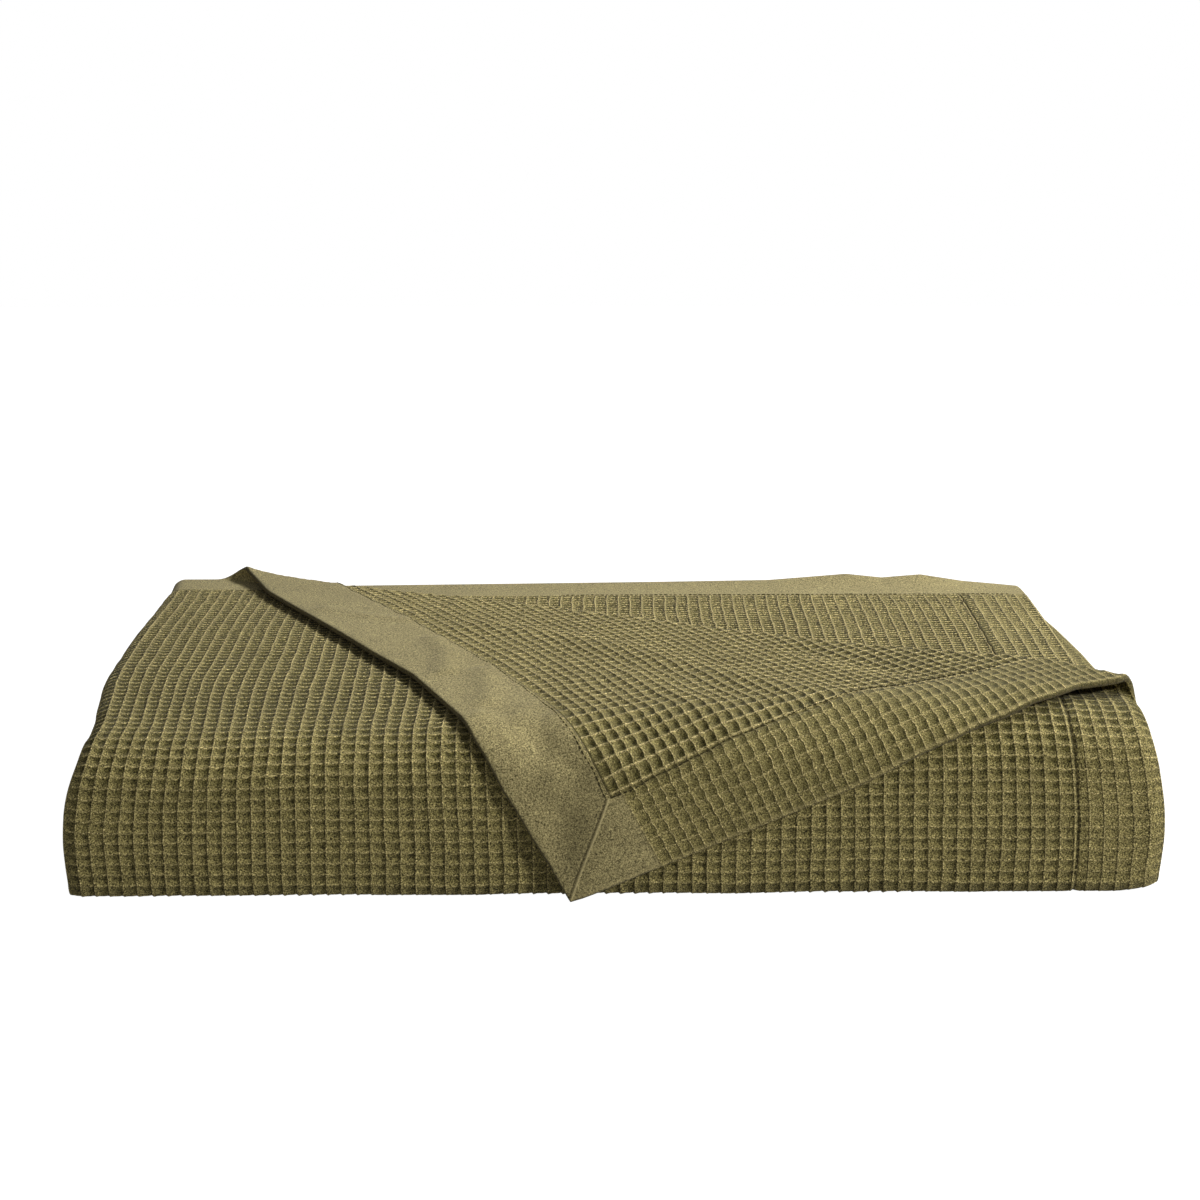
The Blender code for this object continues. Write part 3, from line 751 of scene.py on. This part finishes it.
def second_ply():
    grid = woven_grid(SECOND_LENGTH, SEED + 10)
    none = 0 * grid.u
    relief = face_relief(grid, DEEPER["second"] * PIT * grid.deeper)
    height, pitted, plain, _, turned = raised(relief, grid.higher)
    face = (height, SECOND_SHADE * pitted, plain, SECOND_CREST + none, turned)
    reverse_plain = soft_step(BAND + 1, BAND - 1, grid.s)
    reverse = (SECOND_REVERSE + none, none, reverse_plain, none, none)
    u, s = grid.cell_middles
    middle = second_middle(*grid.pulled)
    face_shows = past_fold(u, s) > -SECOND_UNDER_FOLD
    sides = ((face, face_shows), (reverse, (s < SECOND_REVERSE_END) & (u > 0)))
    return sheet_mesh("second_ply", middle, *sides, POINTS_IN_CELL, grid.places, none)


def fold_centres(shares):
    """Each inner fold's centre at these shares of the way across."""
    sample = np.linspace(0, 1, SAMPLES_ACROSS)
    centres = {}
    for ply in range(1, PLIES - 1):
        centre = back_centre if ply % 2 == 1 else front_centre
        centres[ply] = np.interp(shares, sample, [centre(ply, share * WIDTH) for share in sample])
    return centres


def fold_row(ply, shares, centre, turn, outward):
    low, high = inner_point(ply, shares, centre), inner_point(ply + 1, shares, centre)
    radius, level = (high[:, 2] - low[:, 2]) / 2, (high[:, 2] + low[:, 2]) / 2
    x = low[:, 0] + (high[:, 0] - low[:, 0]) * (turn / math.pi + 0.5)
    t = centre + outward * radius * math.cos(turn)
    return np.stack([x, t, level + radius * math.sin(turn)], axis=-1)


def inner_rows(shares):
    """Rows of middle points through the inner plies, from the bottom ply up."""
    centres = fold_centres(shares)
    start = np.full(len(shares), UNDERLAP + FOOT_RADIUS - FOOT_RADIUS * math.pi / 2 + INNER_GAP)
    rows = []
    for ply in range(1, PLIES - 1):
        end = centres[ply]
        way = "back" if ply % 2 == 1 else "front"
        steps = np.linspace(0, 1, FLAT_STEPS + 1)
        rows += [inner_point(ply, shares, start + (end - start) * step) for step in steps]
        turns = np.linspace(-math.pi / 2, math.pi / 2, FOLD_TURNS[way] + 1)[1:-1]
        rows += [fold_row(ply, shares, end, turn, 1 if way == "back" else -1) for turn in turns]
        start = end
    rows.append(inner_point(PLIES - 1, shares, start))
    return np.stack(rows, axis=1)


def inner_plies():
    shares = np.linspace(0, 1, 2 * CELLS_ACROSS + 1)
    middle = inner_rows(shares)
    along = np.linalg.norm(np.diff(middle[len(shares) // 2], axis=0), axis=-1)
    length = np.concatenate([[0], np.cumsum(along)])
    u, s = np.meshgrid(shares * WIDTH, length, indexing="ij")
    cell_u, cell_s = u / CELL, s / CELL_ROW
    room = (ply_level(2, u, middle[..., 1]) - ply_level(1, u, middle[..., 1])) / 2
    depth = np.clip(2 * np.abs(cell_u - np.round(cell_u)), 0, 1)
    height = np.minimum(INNER_LOFT_SHARE * room, LOFT) - INNER_PIT * depth
    relief = (height, depth, 0 * u, INNER_CREST + 0 * u, 0 * u)
    side = (relief, np.ones((len(shares) - 1, len(length) - 1), bool))
    places = np.stack([cell_u, cell_s], axis=-1)
    return sheet_mesh("inner_plies", middle, side, side, (1, 1), places, 0 * u), length[-1]


def seam_points(side, start, end):
    """Points along a seam, on the cloth's surface."""
    count = int(math.dist(start, end) / GUIDE_STEP)
    share = np.linspace(0, 1, count)
    u = start[0] + (end[0] - start[0]) * share
    s = start[1] + (end[1] - start[1]) * share
    quick, slow = SWAY_TURNS
    sway = STITCH_SWAY * np.sin(share * count / quick) * np.sin(share * count / slow)
    u, s = (u + sway, s) if start[0] == end[0] else (u, s + sway)
    middle = second_middle if side == "second" else outer_middle
    way = -1 if side == "corner" else 1
    return middle(u, s) + facing(middle, u, s, SEAM_SLOPE_STEP) * way * STITCH_LIFT[side]


def stitch_nodes(thread):
    """Geometry nodes that set short stitches along edges, a little uneven in size."""
    tree = bpy.data.node_groups.new("stitches along a seam", "GeometryNodeTree")
    sockets = tree.interface
    sockets.new_socket("Seams", in_out="INPUT", socket_type="NodeSocketGeometry")
    for name in ("Pitch", "Length", "Radius"):
        sockets.new_socket(name, in_out="INPUT", socket_type="NodeSocketFloat")
    sockets.new_socket("Seed", in_out="INPUT", socket_type="NodeSocketInt")
    sockets.new_socket("Stitches", in_out="OUTPUT", socket_type="NodeSocketGeometry")
    nodes = Nodes(tree)
    given = nodes.add("NodeGroupInput").outputs
    curves = nodes.add("GeometryNodeMeshToCurve", _0=given["Seams"]).outputs[0]
    by_length = {"mode": "LENGTH"}
    points = nodes.add("GeometryNodeCurveToPoints", by_length, Curve=curves, Length=given["Pitch"])
    stitch = nodes.add("GeometryNodeMeshUVSphere", Segments=6, Rings=5, Radius=1.0).outputs["Mesh"]
    half = nodes.math("MULTIPLY", given["Length"], 0.5)
    size = nodes.add("ShaderNodeCombineXYZ", X=given["Radius"], Y=given["Radius"], Z=half).outputs[0]
    vectors = {"data_type": "FLOAT_VECTOR"}
    uneven = nodes.add("FunctionNodeRandomValue", vectors, Seed=given["Seed"])
    uneven.inputs["Min"].default_value = STITCH_SMALLEST
    uneven.inputs["Max"].default_value = STITCH_LARGEST
    size = nodes.vector("MULTIPLY", size, uneven.outputs["Value"])
    placed = nodes.add(
        "GeometryNodeInstanceOnPoints",
        Points=points.outputs["Points"],
        Instance=stitch,
        Rotation=points.outputs["Rotation"],
        Scale=size,
    )
    real = nodes.add("GeometryNodeRealizeInstances", Geometry=placed.outputs[0]).outputs[0]
    finished = nodes.add("GeometryNodeSetMaterial", Geometry=real, Material=thread).outputs[0]
    nodes.add("NodeGroupOutput", _0=finished)
    return tree


def stitches(thread):
    """The stitches that hold the hem and the end bands, as one piece."""
    points, edges = [], []
    for side, start, end in STITCH_LINES:
        line = in_frame(seam_points(side, start, end))
        edges += [(len(points) + i, len(points) + i + 1) for i in range(len(line) - 1)]
        points += line.tolist()
    data = bpy.data.meshes.new("seam lines")
    data.from_pydata(points, edges, [])
    guide = in_scene("seam lines", data)
    modifier = guide.modifiers.new("stitches", "NODES")
    modifier.node_group = stitch_nodes(thread)
    for socket in modifier.node_group.interface.items_tree:
        if socket.in_out == "INPUT" and socket.name in STITCH_SIZES:
            modifier[socket.identifier] = STITCH_SIZES[socket.name]
    evaluated = guide.evaluated_get(bpy.context.evaluated_depsgraph_get())
    mesh = bpy.data.meshes.new_from_object(evaluated)
    bpy.data.objects.remove(guide)
    mesh.name = "stitches"
    return in_scene("stitches", mesh)


# ---- finishes

# painted highlight on the ridges' crests and along the turned corner's side edge
HIGHLIGHT_COLOUR = (0.50, 0.41, 0.185, 1)
CLOTH_COLOUR = (0.285, 0.238, 0.092, 1)
# painted shade, mixed in as the pits' shade deepens
PIT_SHADE_COLOUR = (0.085, 0.073, 0.022, 1)
PLAIN_COLOUR = (0.318, 0.267, 0.122, 1)
# painted shade in the crevices, the seams' gaps and along the turned corner's cut edges
DEEP_SHADE_COLOUR = (0.035, 0.03, 0.012, 1)
# painted highlight on the mitre's raised edge
MITRE_HIGHLIGHT_COLOUR = (0.56, 0.47, 0.23, 1)
THREAD_COLOUR = (0.045, 0.038, 0.016)

# The noises, in turns per metre.
YARN_SCALE = 1150.0
FUZZ_SCALE = 2600.0
FINE_SCALE = 3400.0
PATCH_SCALE = 26.0
WAVER_SCALE = 330.0
TWIST_SCALE = 2200.0

# Painted highlight on the crests and painted shade in the crevices and pits, in cells.
RIDGE_LINE = 0.065
CROSS_LINE = 0.11
LINE_WAVER = 0.05
RIDGE_CLEAR = {"face": 0.95, "turned": 1.0}
CROSS_CLEAR = {"face": 0.65, "turned": 1.0, "hem": 0.35}
CREST_BREAKS = (3.2, -0.75)  # what a noise is multiplied by, and what is added, here and below
CREST_RANGE = (0.3, 1.2)
CREVICE_AT = -0.085  # the painted shade line beside a ridge
CREVICE = 0.06
CREVICE_SHADE = 0.8
HOLLOW_STARTS = (0.05, 0.15)  # shares of the way from one long ridge to the next
HOLLOW_DEEPENS = (0.32, 0.78)
HOLLOW_ENDS = (1.0, 0.95)
HOLLOW_SHADE = 0.68  # where it starts, against where it is deepest
RIB_SHADE_STARTS = (0.04, 0.13)
RIB_SHADE_ENDS = (0.72, 0.42)
SHADE = 1.25
FLOOR_SHADE = 0.5  # how dark the painted shade is at a pit's bottom, as a share of its walls
HEM_PIT_SHADE = (0.5, 0.15)

# Seams and edges, with their painted highlight and painted shade: where, and how wide, in mm.
MITRE_EDGE = (-0.6, 1.3)
MITRE_CLEAR = 0.8
MITRE_GAP = (-2.4, 1.0)
MITRE_GAP_SHADE = 0.6
LIP_GAP = (BAND + 0.5, 1.2)
HEM_GAP = (BAND, 1.2)
HEM_GAP_BREAKS = 0.45
FACE_GAP = 0.85  # how dark the painted shade in the gap beside the hem is on the cloth's face
EDGE_HIGHLIGHT = (1.0, 1.1)
EDGE_HIGHLIGHT_CLEAR = 0.3
EDGE_SHADE = 0.7  # how dark the painted shadow along the turned corner's cut edges is
SEAM_SHADE = 0.85

YARN_CONTRAST = {"face": 4.4, "turned": 3.2}
FUZZ_LIGHT = (5.0, -1.5)
PLAIN_YARN_LIGHT = (3.4, -0.7)
PLAIN_FINE_LIGHT = (3.6, -0.8)
TWIST_LIGHT = (1.6, 0.2)
PATCH_LIGHT = (0.3, 0.85)
DARKEST = 0.15
YARN_RELIEF = {"woven": 0.8, "plain": 0.25}
FUZZ_RELIEF = 0.45
CREST_RELIEF = 0.3
MITRE_RELIEF = 0.7
SEAM_RELIEF = -0.7
RELIEF_HEIGHT = 0.0007
RELIEF_STRENGTH = 0.9
COTTON = {"Roughness": 1.0, "Specular IOR Level": 0.1, "Sheen Weight": 0.08, "Sheen Roughness": 0.5}
THREAD = {"Roughness": 0.9, "Specular IOR Level": 0.1}


class Nodes:
    """Short ways to add nodes to one tree."""

    smooth = {"interpolation_type": "SMOOTHSTEP"}

    def __init__(self, tree):
        self.tree = tree

    def add(self, kind, settings=(), **inputs):
        """A node with these settings. An input is named, or _ and its number, and its value is a
        number, a colour or another node's output."""
        node = self.tree.nodes.new(kind)
        for name, value in dict(settings).items():
            setattr(node, name, value)
        for name, value in inputs.items():
            key = int(name[1:]) if name[0] == "_" else name.replace("_", " ")
            if isinstance(value, bpy.types.NodeSocket):
                self.tree.links.new(value, node.inputs[key])
            else:
                node.inputs[key].default_value = value
        return node

    def math(self, operation, first, second=0.0, third=0.0):
        settings = {"operation": operation}
        return self.add("ShaderNodeMath", settings, _0=first, _1=second, _2=third).outputs[0]

    def times(self, first, second):
        return self.math("MULTIPLY", first, second)

    def vector(self, operation, first, second):
        settings = {"operation": operation}
        return self.add("ShaderNodeVectorMath", settings, _0=first, _1=second).outputs[0]

    def scaled(self, vector, size):
        settings = {"operation": "SCALE"}
        return self.add("ShaderNodeVectorMath", settings, _0=vector, Scale=size).outputs[0]

    def noise(self, position, scale, detail, output="Fac"):
        node = self.add("ShaderNodeTexNoise", Vector=position, Scale=scale, Detail=detail)
        return node.outputs[output]

    def line(self, place, width):
        """1 where the place is a whole number, down to 0 at this distance from it."""
        return self.near(self.math("SUBTRACT", place, self.math("ROUND", place)), 0.0, width)

    def near(self, place, middle, width):
        """1 at the middle, down to 0 at this distance from it."""
        away = self.math("ABSOLUTE", self.math("SUBTRACT", place, middle))
        ends = {"From_Max": width, "To_Min": 1.0, "To_Max": 0.0}
        return self.add("ShaderNodeMapRange", self.smooth, Value=away, **ends).outputs["Result"]

    def rise(self, place, start, end):
        """0 at the start, up to 1 at the end."""
        ends = {"From_Min": start, "From_Max": end}
        return self.add("ShaderNodeMapRange", self.smooth, Value=place, **ends).outputs["Result"]

    def number_mix(self, share, first, second):
        return self.math("MULTIPLY_ADD", share, self.math("SUBTRACT", second, first), first)

    def mix(self, share, first, second):
        settings = {"data_type": "RGBA"}
        return self.add("ShaderNodeMix", settings, _0=share, _6=first, _7=second).outputs[2]


def new_material(name, feel):
    """A material, its nodes and its surface, whose sockets have these numbers and colours."""
    material = bpy.data.materials.new(name)
    material.use_nodes = True
    surface = material.node_tree.nodes["Principled BSDF"]
    for socket, value in feel.items():
        surface.inputs[socket].default_value = value
    return material, Nodes(material.node_tree), surface


def cloth_places(nodes):
    """What the cotton's pattern reads: LABELS, noises of several sizes, and where on the cloth it is,
    in cells along the long ridges' rows and in mm from the side and the end."""
    at = SimpleNamespace()
    for label in LABELS:
        node = nodes.add("ShaderNodeAttribute", {"attribute_name": label})
        setattr(at, label, node.outputs["Fac"])
    position = nodes.add("ShaderNodeTexCoord").outputs["Object"]
    at.yarn = nodes.noise(position, YARN_SCALE, 2.0)
    at.fuzz = nodes.noise(position, FUZZ_SCALE, 1.0)
    at.fine = nodes.noise(position, FINE_SCALE, 1.0)
    at.patches = nodes.noise(position, PATCH_SCALE, 3.0)
    waver = nodes.noise(position, WAVER_SCALE, 1.0, "Color")
    waver = nodes.scaled(nodes.vector("SUBTRACT", waver, (0.5, 0.5, 0.5)), LINE_WAVER)
    cloth = nodes.add("ShaderNodeUVMap", {"uv_map": "cloth"}).outputs[0]
    flat = nodes.add("ShaderNodeSeparateXYZ", _0=cloth)
    wavy = nodes.add("ShaderNodeSeparateXYZ", _0=nodes.vector("ADD", cloth, waver))
    at.from_side = nodes.math("MULTIPLY_ADD", flat.outputs[0], -CELL, WIDTH)
    at.from_end = nodes.math("MULTIPLY_ADD", flat.outputs[1], CELL_ROW, BAND)
    at.turned_hem = nodes.times(nodes.math("LESS_THAN", at.from_side, BAND), at.turned)
    at.woven = nodes.math("SUBTRACT", 1.0, at.plain)
    at.main = nodes.number_mix(at.turned, wavy.outputs[0], wavy.outputs[1])
    at.over = nodes.number_mix(at.turned, wavy.outputs[1], wavy.outputs[0])
    broken = nodes.math("MULTIPLY_ADD", at.yarn, *CREST_BREAKS)
    at.broken = nodes.math("MINIMUM", nodes.math("MAXIMUM", broken, CREST_RANGE[0]), CREST_RANGE[1])
    return at


def crest_lines(nodes, at):
    """The painted highlight on the ridges' crests, and the painted shade beside each long one."""
    cross_clear = nodes.number_mix(at.turned, CROSS_CLEAR["face"], CROSS_CLEAR["turned"])
    cross_clear = nodes.number_mix(at.turned_hem, cross_clear, CROSS_CLEAR["hem"])
    cross = nodes.times(nodes.line(at.over, CROSS_LINE), cross_clear)
    ridge_clear = nodes.number_mix(at.turned, RIDGE_CLEAR["face"], RIDGE_CLEAR["turned"])
    ridge = nodes.times(nodes.line(at.main, RIDGE_LINE), ridge_clear)
    crest = nodes.times(nodes.math("MAXIMUM", ridge, cross), at.woven)
    crest = nodes.times(nodes.times(crest, at.crest), at.broken)
    beside = nodes.math("SUBTRACT", at.main, CREVICE_AT)
    return crest, nodes.times(nodes.line(beside, CREVICE), at.woven)


def painted_pit_shade(nodes, at):
    """The painted shade in a pit, from its slope beside one long ridge to its steep wall at the next.
    """
    off_ridge = nodes.math("FRACT", at.main)
    off_rib = nodes.math("FRACT", nodes.times(at.over, nodes.number_mix(at.turned, 1.0, -1.0)))
    hollow = nodes.times(nodes.rise(off_ridge, *HOLLOW_STARTS), nodes.rise(off_ridge, *HOLLOW_ENDS))
    deepens = nodes.rise(off_ridge, *HOLLOW_DEEPENS)
    hollow = nodes.times(hollow, nodes.math("MULTIPLY_ADD", deepens, 1 - HOLLOW_SHADE, HOLLOW_SHADE))
    rib = nodes.times(nodes.rise(off_rib, *RIB_SHADE_STARTS), nodes.rise(off_rib, *RIB_SHADE_ENDS))
    between = nodes.math("MULTIPLY_ADD", rib, 1 - FLOOR_SHADE, FLOOR_SHADE)
    softer = nodes.math("MULTIPLY_ADD", between, *HEM_PIT_SHADE)
    shade = nodes.times(hollow, nodes.number_mix(at.turned_hem, between, softer))
    return nodes.times(shade, nodes.times(at.pit, SHADE))


def seam_lines(nodes, at):
    """The painted highlight on the mitre's raised edge, and the painted shade in the gaps beside the
    mitre, the end band and the hem.
    """
    in_corner = nodes.math("LESS_THAN", nodes.math("MAXIMUM", at.from_side, at.from_end), BAND)
    in_corner = nodes.times(in_corner, at.turned)
    off_mitre = nodes.math("SUBTRACT", at.from_end, at.from_side)
    mitre_edge = nodes.times(nodes.near(off_mitre, *MITRE_EDGE), in_corner)
    mitre_gap = nodes.times(nodes.near(off_mitre, *MITRE_GAP), in_corner)
    mitre_gap = nodes.times(mitre_gap, MITRE_GAP_SHADE)
    beside_hem = nodes.times(nodes.math("GREATER_THAN", at.from_side, BAND - 0.5), at.turned)
    lip_gap = nodes.times(nodes.near(at.from_end, *LIP_GAP), beside_hem)
    past_band = nodes.math("GREATER_THAN", at.from_end, BAND)
    hem_gap = nodes.times(nodes.near(at.from_side, *HEM_GAP), past_band)
    gap_depth = nodes.math("MAXIMUM", nodes.math("SUBTRACT", at.broken, HEM_GAP_BREAKS), 0.0)
    hem_gap = nodes.times(hem_gap, nodes.number_mix(at.turned, FACE_GAP, gap_depth))
    return mitre_edge, nodes.math("MAXIMUM", nodes.math("MAXIMUM", mitre_gap, lip_gap), hem_gap)


def yarn_light(nodes, at):
    """How light each bit of yarn is, uneven from thread to thread and from patch to patch."""
    uneven = nodes.number_mix(at.turned, YARN_CONTRAST["face"], YARN_CONTRAST["turned"])
    light = nodes.math("MULTIPLY_ADD", nodes.math("SUBTRACT", at.yarn, 0.5), uneven, 1.0)
    light = nodes.times(light, nodes.math("MULTIPLY_ADD", at.fuzz, *FUZZ_LIGHT))
    plain_light = nodes.math("MULTIPLY_ADD", at.yarn, *PLAIN_YARN_LIGHT)
    plain_light = nodes.times(plain_light, nodes.math("MULTIPLY_ADD", at.fine, *PLAIN_FINE_LIGHT))
    light = nodes.math("MAXIMUM", nodes.number_mix(at.plain, light, plain_light), DARKEST)
    return nodes.times(light, nodes.math("MULTIPLY_ADD", at.patches, *PATCH_LIGHT))


def cotton():
    """Olive cotton: painted highlight on thin ridges, painted shade in the pits, crevices and gaps and
    along cut edges, and paler plain bands, all in dull soft yarn.
    """
    material, nodes, surface = new_material("olive cotton", COTTON)
    at = cloth_places(nodes)
    crest, crevice = crest_lines(nodes, at)
    mitre_edge, seam = seam_lines(nodes, at)
    # Painted shade in the pits.
    woven = nodes.mix(painted_pit_shade(nodes, at), CLOTH_COLOUR, PIT_SHADE_COLOUR)
    # Painted shade in the crevice beside each long ridge.
    woven = nodes.mix(nodes.times(crevice, CREVICE_SHADE), woven, DEEP_SHADE_COLOUR)
    tone = nodes.mix(at.plain, woven, PLAIN_COLOUR)
    # Painted highlight on the crests.
    tone = nodes.mix(crest, tone, HIGHLIGHT_COLOUR)
    tone = nodes.scaled(tone, yarn_light(nodes, at))
    # Painted highlight on the mitre's raised edge.
    tone = nodes.mix(nodes.times(mitre_edge, MITRE_CLEAR), tone, MITRE_HIGHLIGHT_COLOUR)
    # Painted highlight along the turned corner's side edge.
    edge_highlight = nodes.near(at.from_side, *EDGE_HIGHLIGHT)
    tone = nodes.mix(nodes.times(edge_highlight, nodes.times(at.turned, EDGE_HIGHLIGHT_CLEAR)), tone, HIGHLIGHT_COLOUR)
    # Painted shadow along the turned corner's cut edges.
    painted_edge_shadow = nodes.times(nodes.times(at.edge, at.turned), EDGE_SHADE)
    tone = nodes.mix(painted_edge_shadow, tone, DEEP_SHADE_COLOUR)
    # Painted shade in the gaps beside the mitre, the end band and the hem.
    tone = nodes.mix(nodes.times(seam, SEAM_SHADE), tone, DEEP_SHADE_COLOUR)
    nodes.tree.links.new(tone, surface.inputs["Base Color"])

    loose = nodes.number_mix(at.plain, YARN_RELIEF["woven"], YARN_RELIEF["plain"])
    height = nodes.math("MULTIPLY_ADD", at.yarn, loose, nodes.times(at.fuzz, FUZZ_RELIEF))
    for line, rise in ((crest, CREST_RELIEF), (mitre_edge, MITRE_RELIEF), (seam, SEAM_RELIEF)):
        height = nodes.math("MULTIPLY_ADD", line, rise, height)
    bump = nodes.add("ShaderNodeBump", Height=height, Distance=RELIEF_HEIGHT, Strength=RELIEF_STRENGTH)
    nodes.tree.links.new(bump.outputs[0], surface.inputs["Normal"])
    return material


def cotton_thread():
    """The dark sewing thread, dull and a little uneven."""
    material, nodes, surface = new_material("sewing thread", THREAD)
    position = nodes.add("ShaderNodeTexCoord").outputs["Object"]
    light = nodes.math("MULTIPLY_ADD", nodes.noise(position, TWIST_SCALE, 1.0), *TWIST_LIGHT)
    nodes.tree.links.new(nodes.scaled(THREAD_COLOUR, light), surface.inputs["Base Color"])
    return material


# ---- studio

LENS = 73.41
CAMERA_PLACE = (-0.03248, -1.42283, 0.3677)
CAMERA_TURN = (80.34, 0, -1.18)
WHITE = (1, 1, 1, 1)
AMBIENT = 0.15
FLOOR = {"Base Color": (0.2, 0.2, 0.2, 1), "Roughness": 0.8, "Emission Color": WHITE}
FLOOR_SEEN = 1.0  # the floor's own light, as the camera sees it
FLOOR_GLOW = 0.12  # and as it falls on the cloth
FLOOR_REACH = 6.0
FLOOR_DROP = -0.0002
LIGHTS_AIM = (0, 0, 0.05)
LIGHTS = (
    # name, place, size, power
    ("key", (1.25, 0.4, 1.6), 0.6, 34.0),
    ("side", (1.9, -1.45, 1.25), 0.4, 44.0),
    ("fill", (-1.8, -1.6, 1.2), 1.6, 3.0),
)


def add_camera():
    """The photograph's view: a long lens, low over the front."""
    data = bpy.data.cameras.new("camera")
    data.sensor_width = 36.0
    data.lens = LENS
    camera = in_scene("camera", data)
    camera.location = CAMERA_PLACE
    camera.rotation_euler = [math.radians(angle) for angle in CAMERA_TURN]
    bpy.context.scene.camera = camera


def add_light(name, place, size, power):
    """A square soft light, aimed at the middle of the stack."""
    data = bpy.data.lights.new(name, "AREA")
    data.shape = "SQUARE"
    data.size = size
    data.energy = power
    light = in_scene(name, data)
    light.location = place
    aim = np.array(LIGHTS_AIM) - np.array(place)
    flat = math.hypot(aim[0], aim[1])
    light.rotation_euler = (math.atan2(flat, -aim[2]), 0, math.atan2(-aim[0], aim[1]))


def set_strength(tree, strength, cast, seen):
    """Gives a strength one value for the light it casts and another as the camera sees it."""
    nodes = Nodes(tree)
    is_seen = nodes.add("ShaderNodeLightPath").outputs["Is Camera Ray"]
    value = nodes.add("ShaderNodeMapRange", Value=is_seen, To_Min=cast, To_Max=seen)
    tree.links.new(value.outputs["Result"], strength)


def add_studio():
    """A white floor that fades into a white background, and soft light from the upper right."""
    scene = bpy.context.scene
    scene.view_settings.view_transform = "Standard"
    world = bpy.data.worlds.new("studio")
    world.use_nodes = True
    background = world.node_tree.nodes["Background"]
    background.inputs["Color"].default_value = WHITE
    set_strength(world.node_tree, background.inputs["Strength"], AMBIENT, 1.0)
    scene.world = world

    data = bpy.data.meshes.new("floor")
    near, far = -FLOOR_REACH, FLOOR_REACH
    corners = [(near, near, 0), (far, near, 0), (far, far, 0), (near, far, 0)]
    data.from_pydata(corners, [], [(0, 1, 2, 3)])
    floor = in_scene("floor", data)
    floor.location = (0, 0, FLOOR_DROP)
    material, nodes, surface = new_material("white floor", FLOOR)
    set_strength(nodes.tree, surface.inputs["Emission Strength"], FLOOR_GLOW, FLOOR_SEEN)
    data.materials.append(material)
    for light in LIGHTS:
        add_light(*light)


add_camera()
add_studio()
cotton_material = cotton()
outer = outer_ply()
second = second_ply()
inner, inner_length = inner_plies()
for piece, length in ((outer, OUTER_LENGTH), (second, SECOND_LENGTH), (inner, inner_length)):
    piece.data.materials.append(cotton_material)
    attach(piece, "root")
    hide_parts("blanket")

seams = stitches(cotton_thread())
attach(seams, "root")
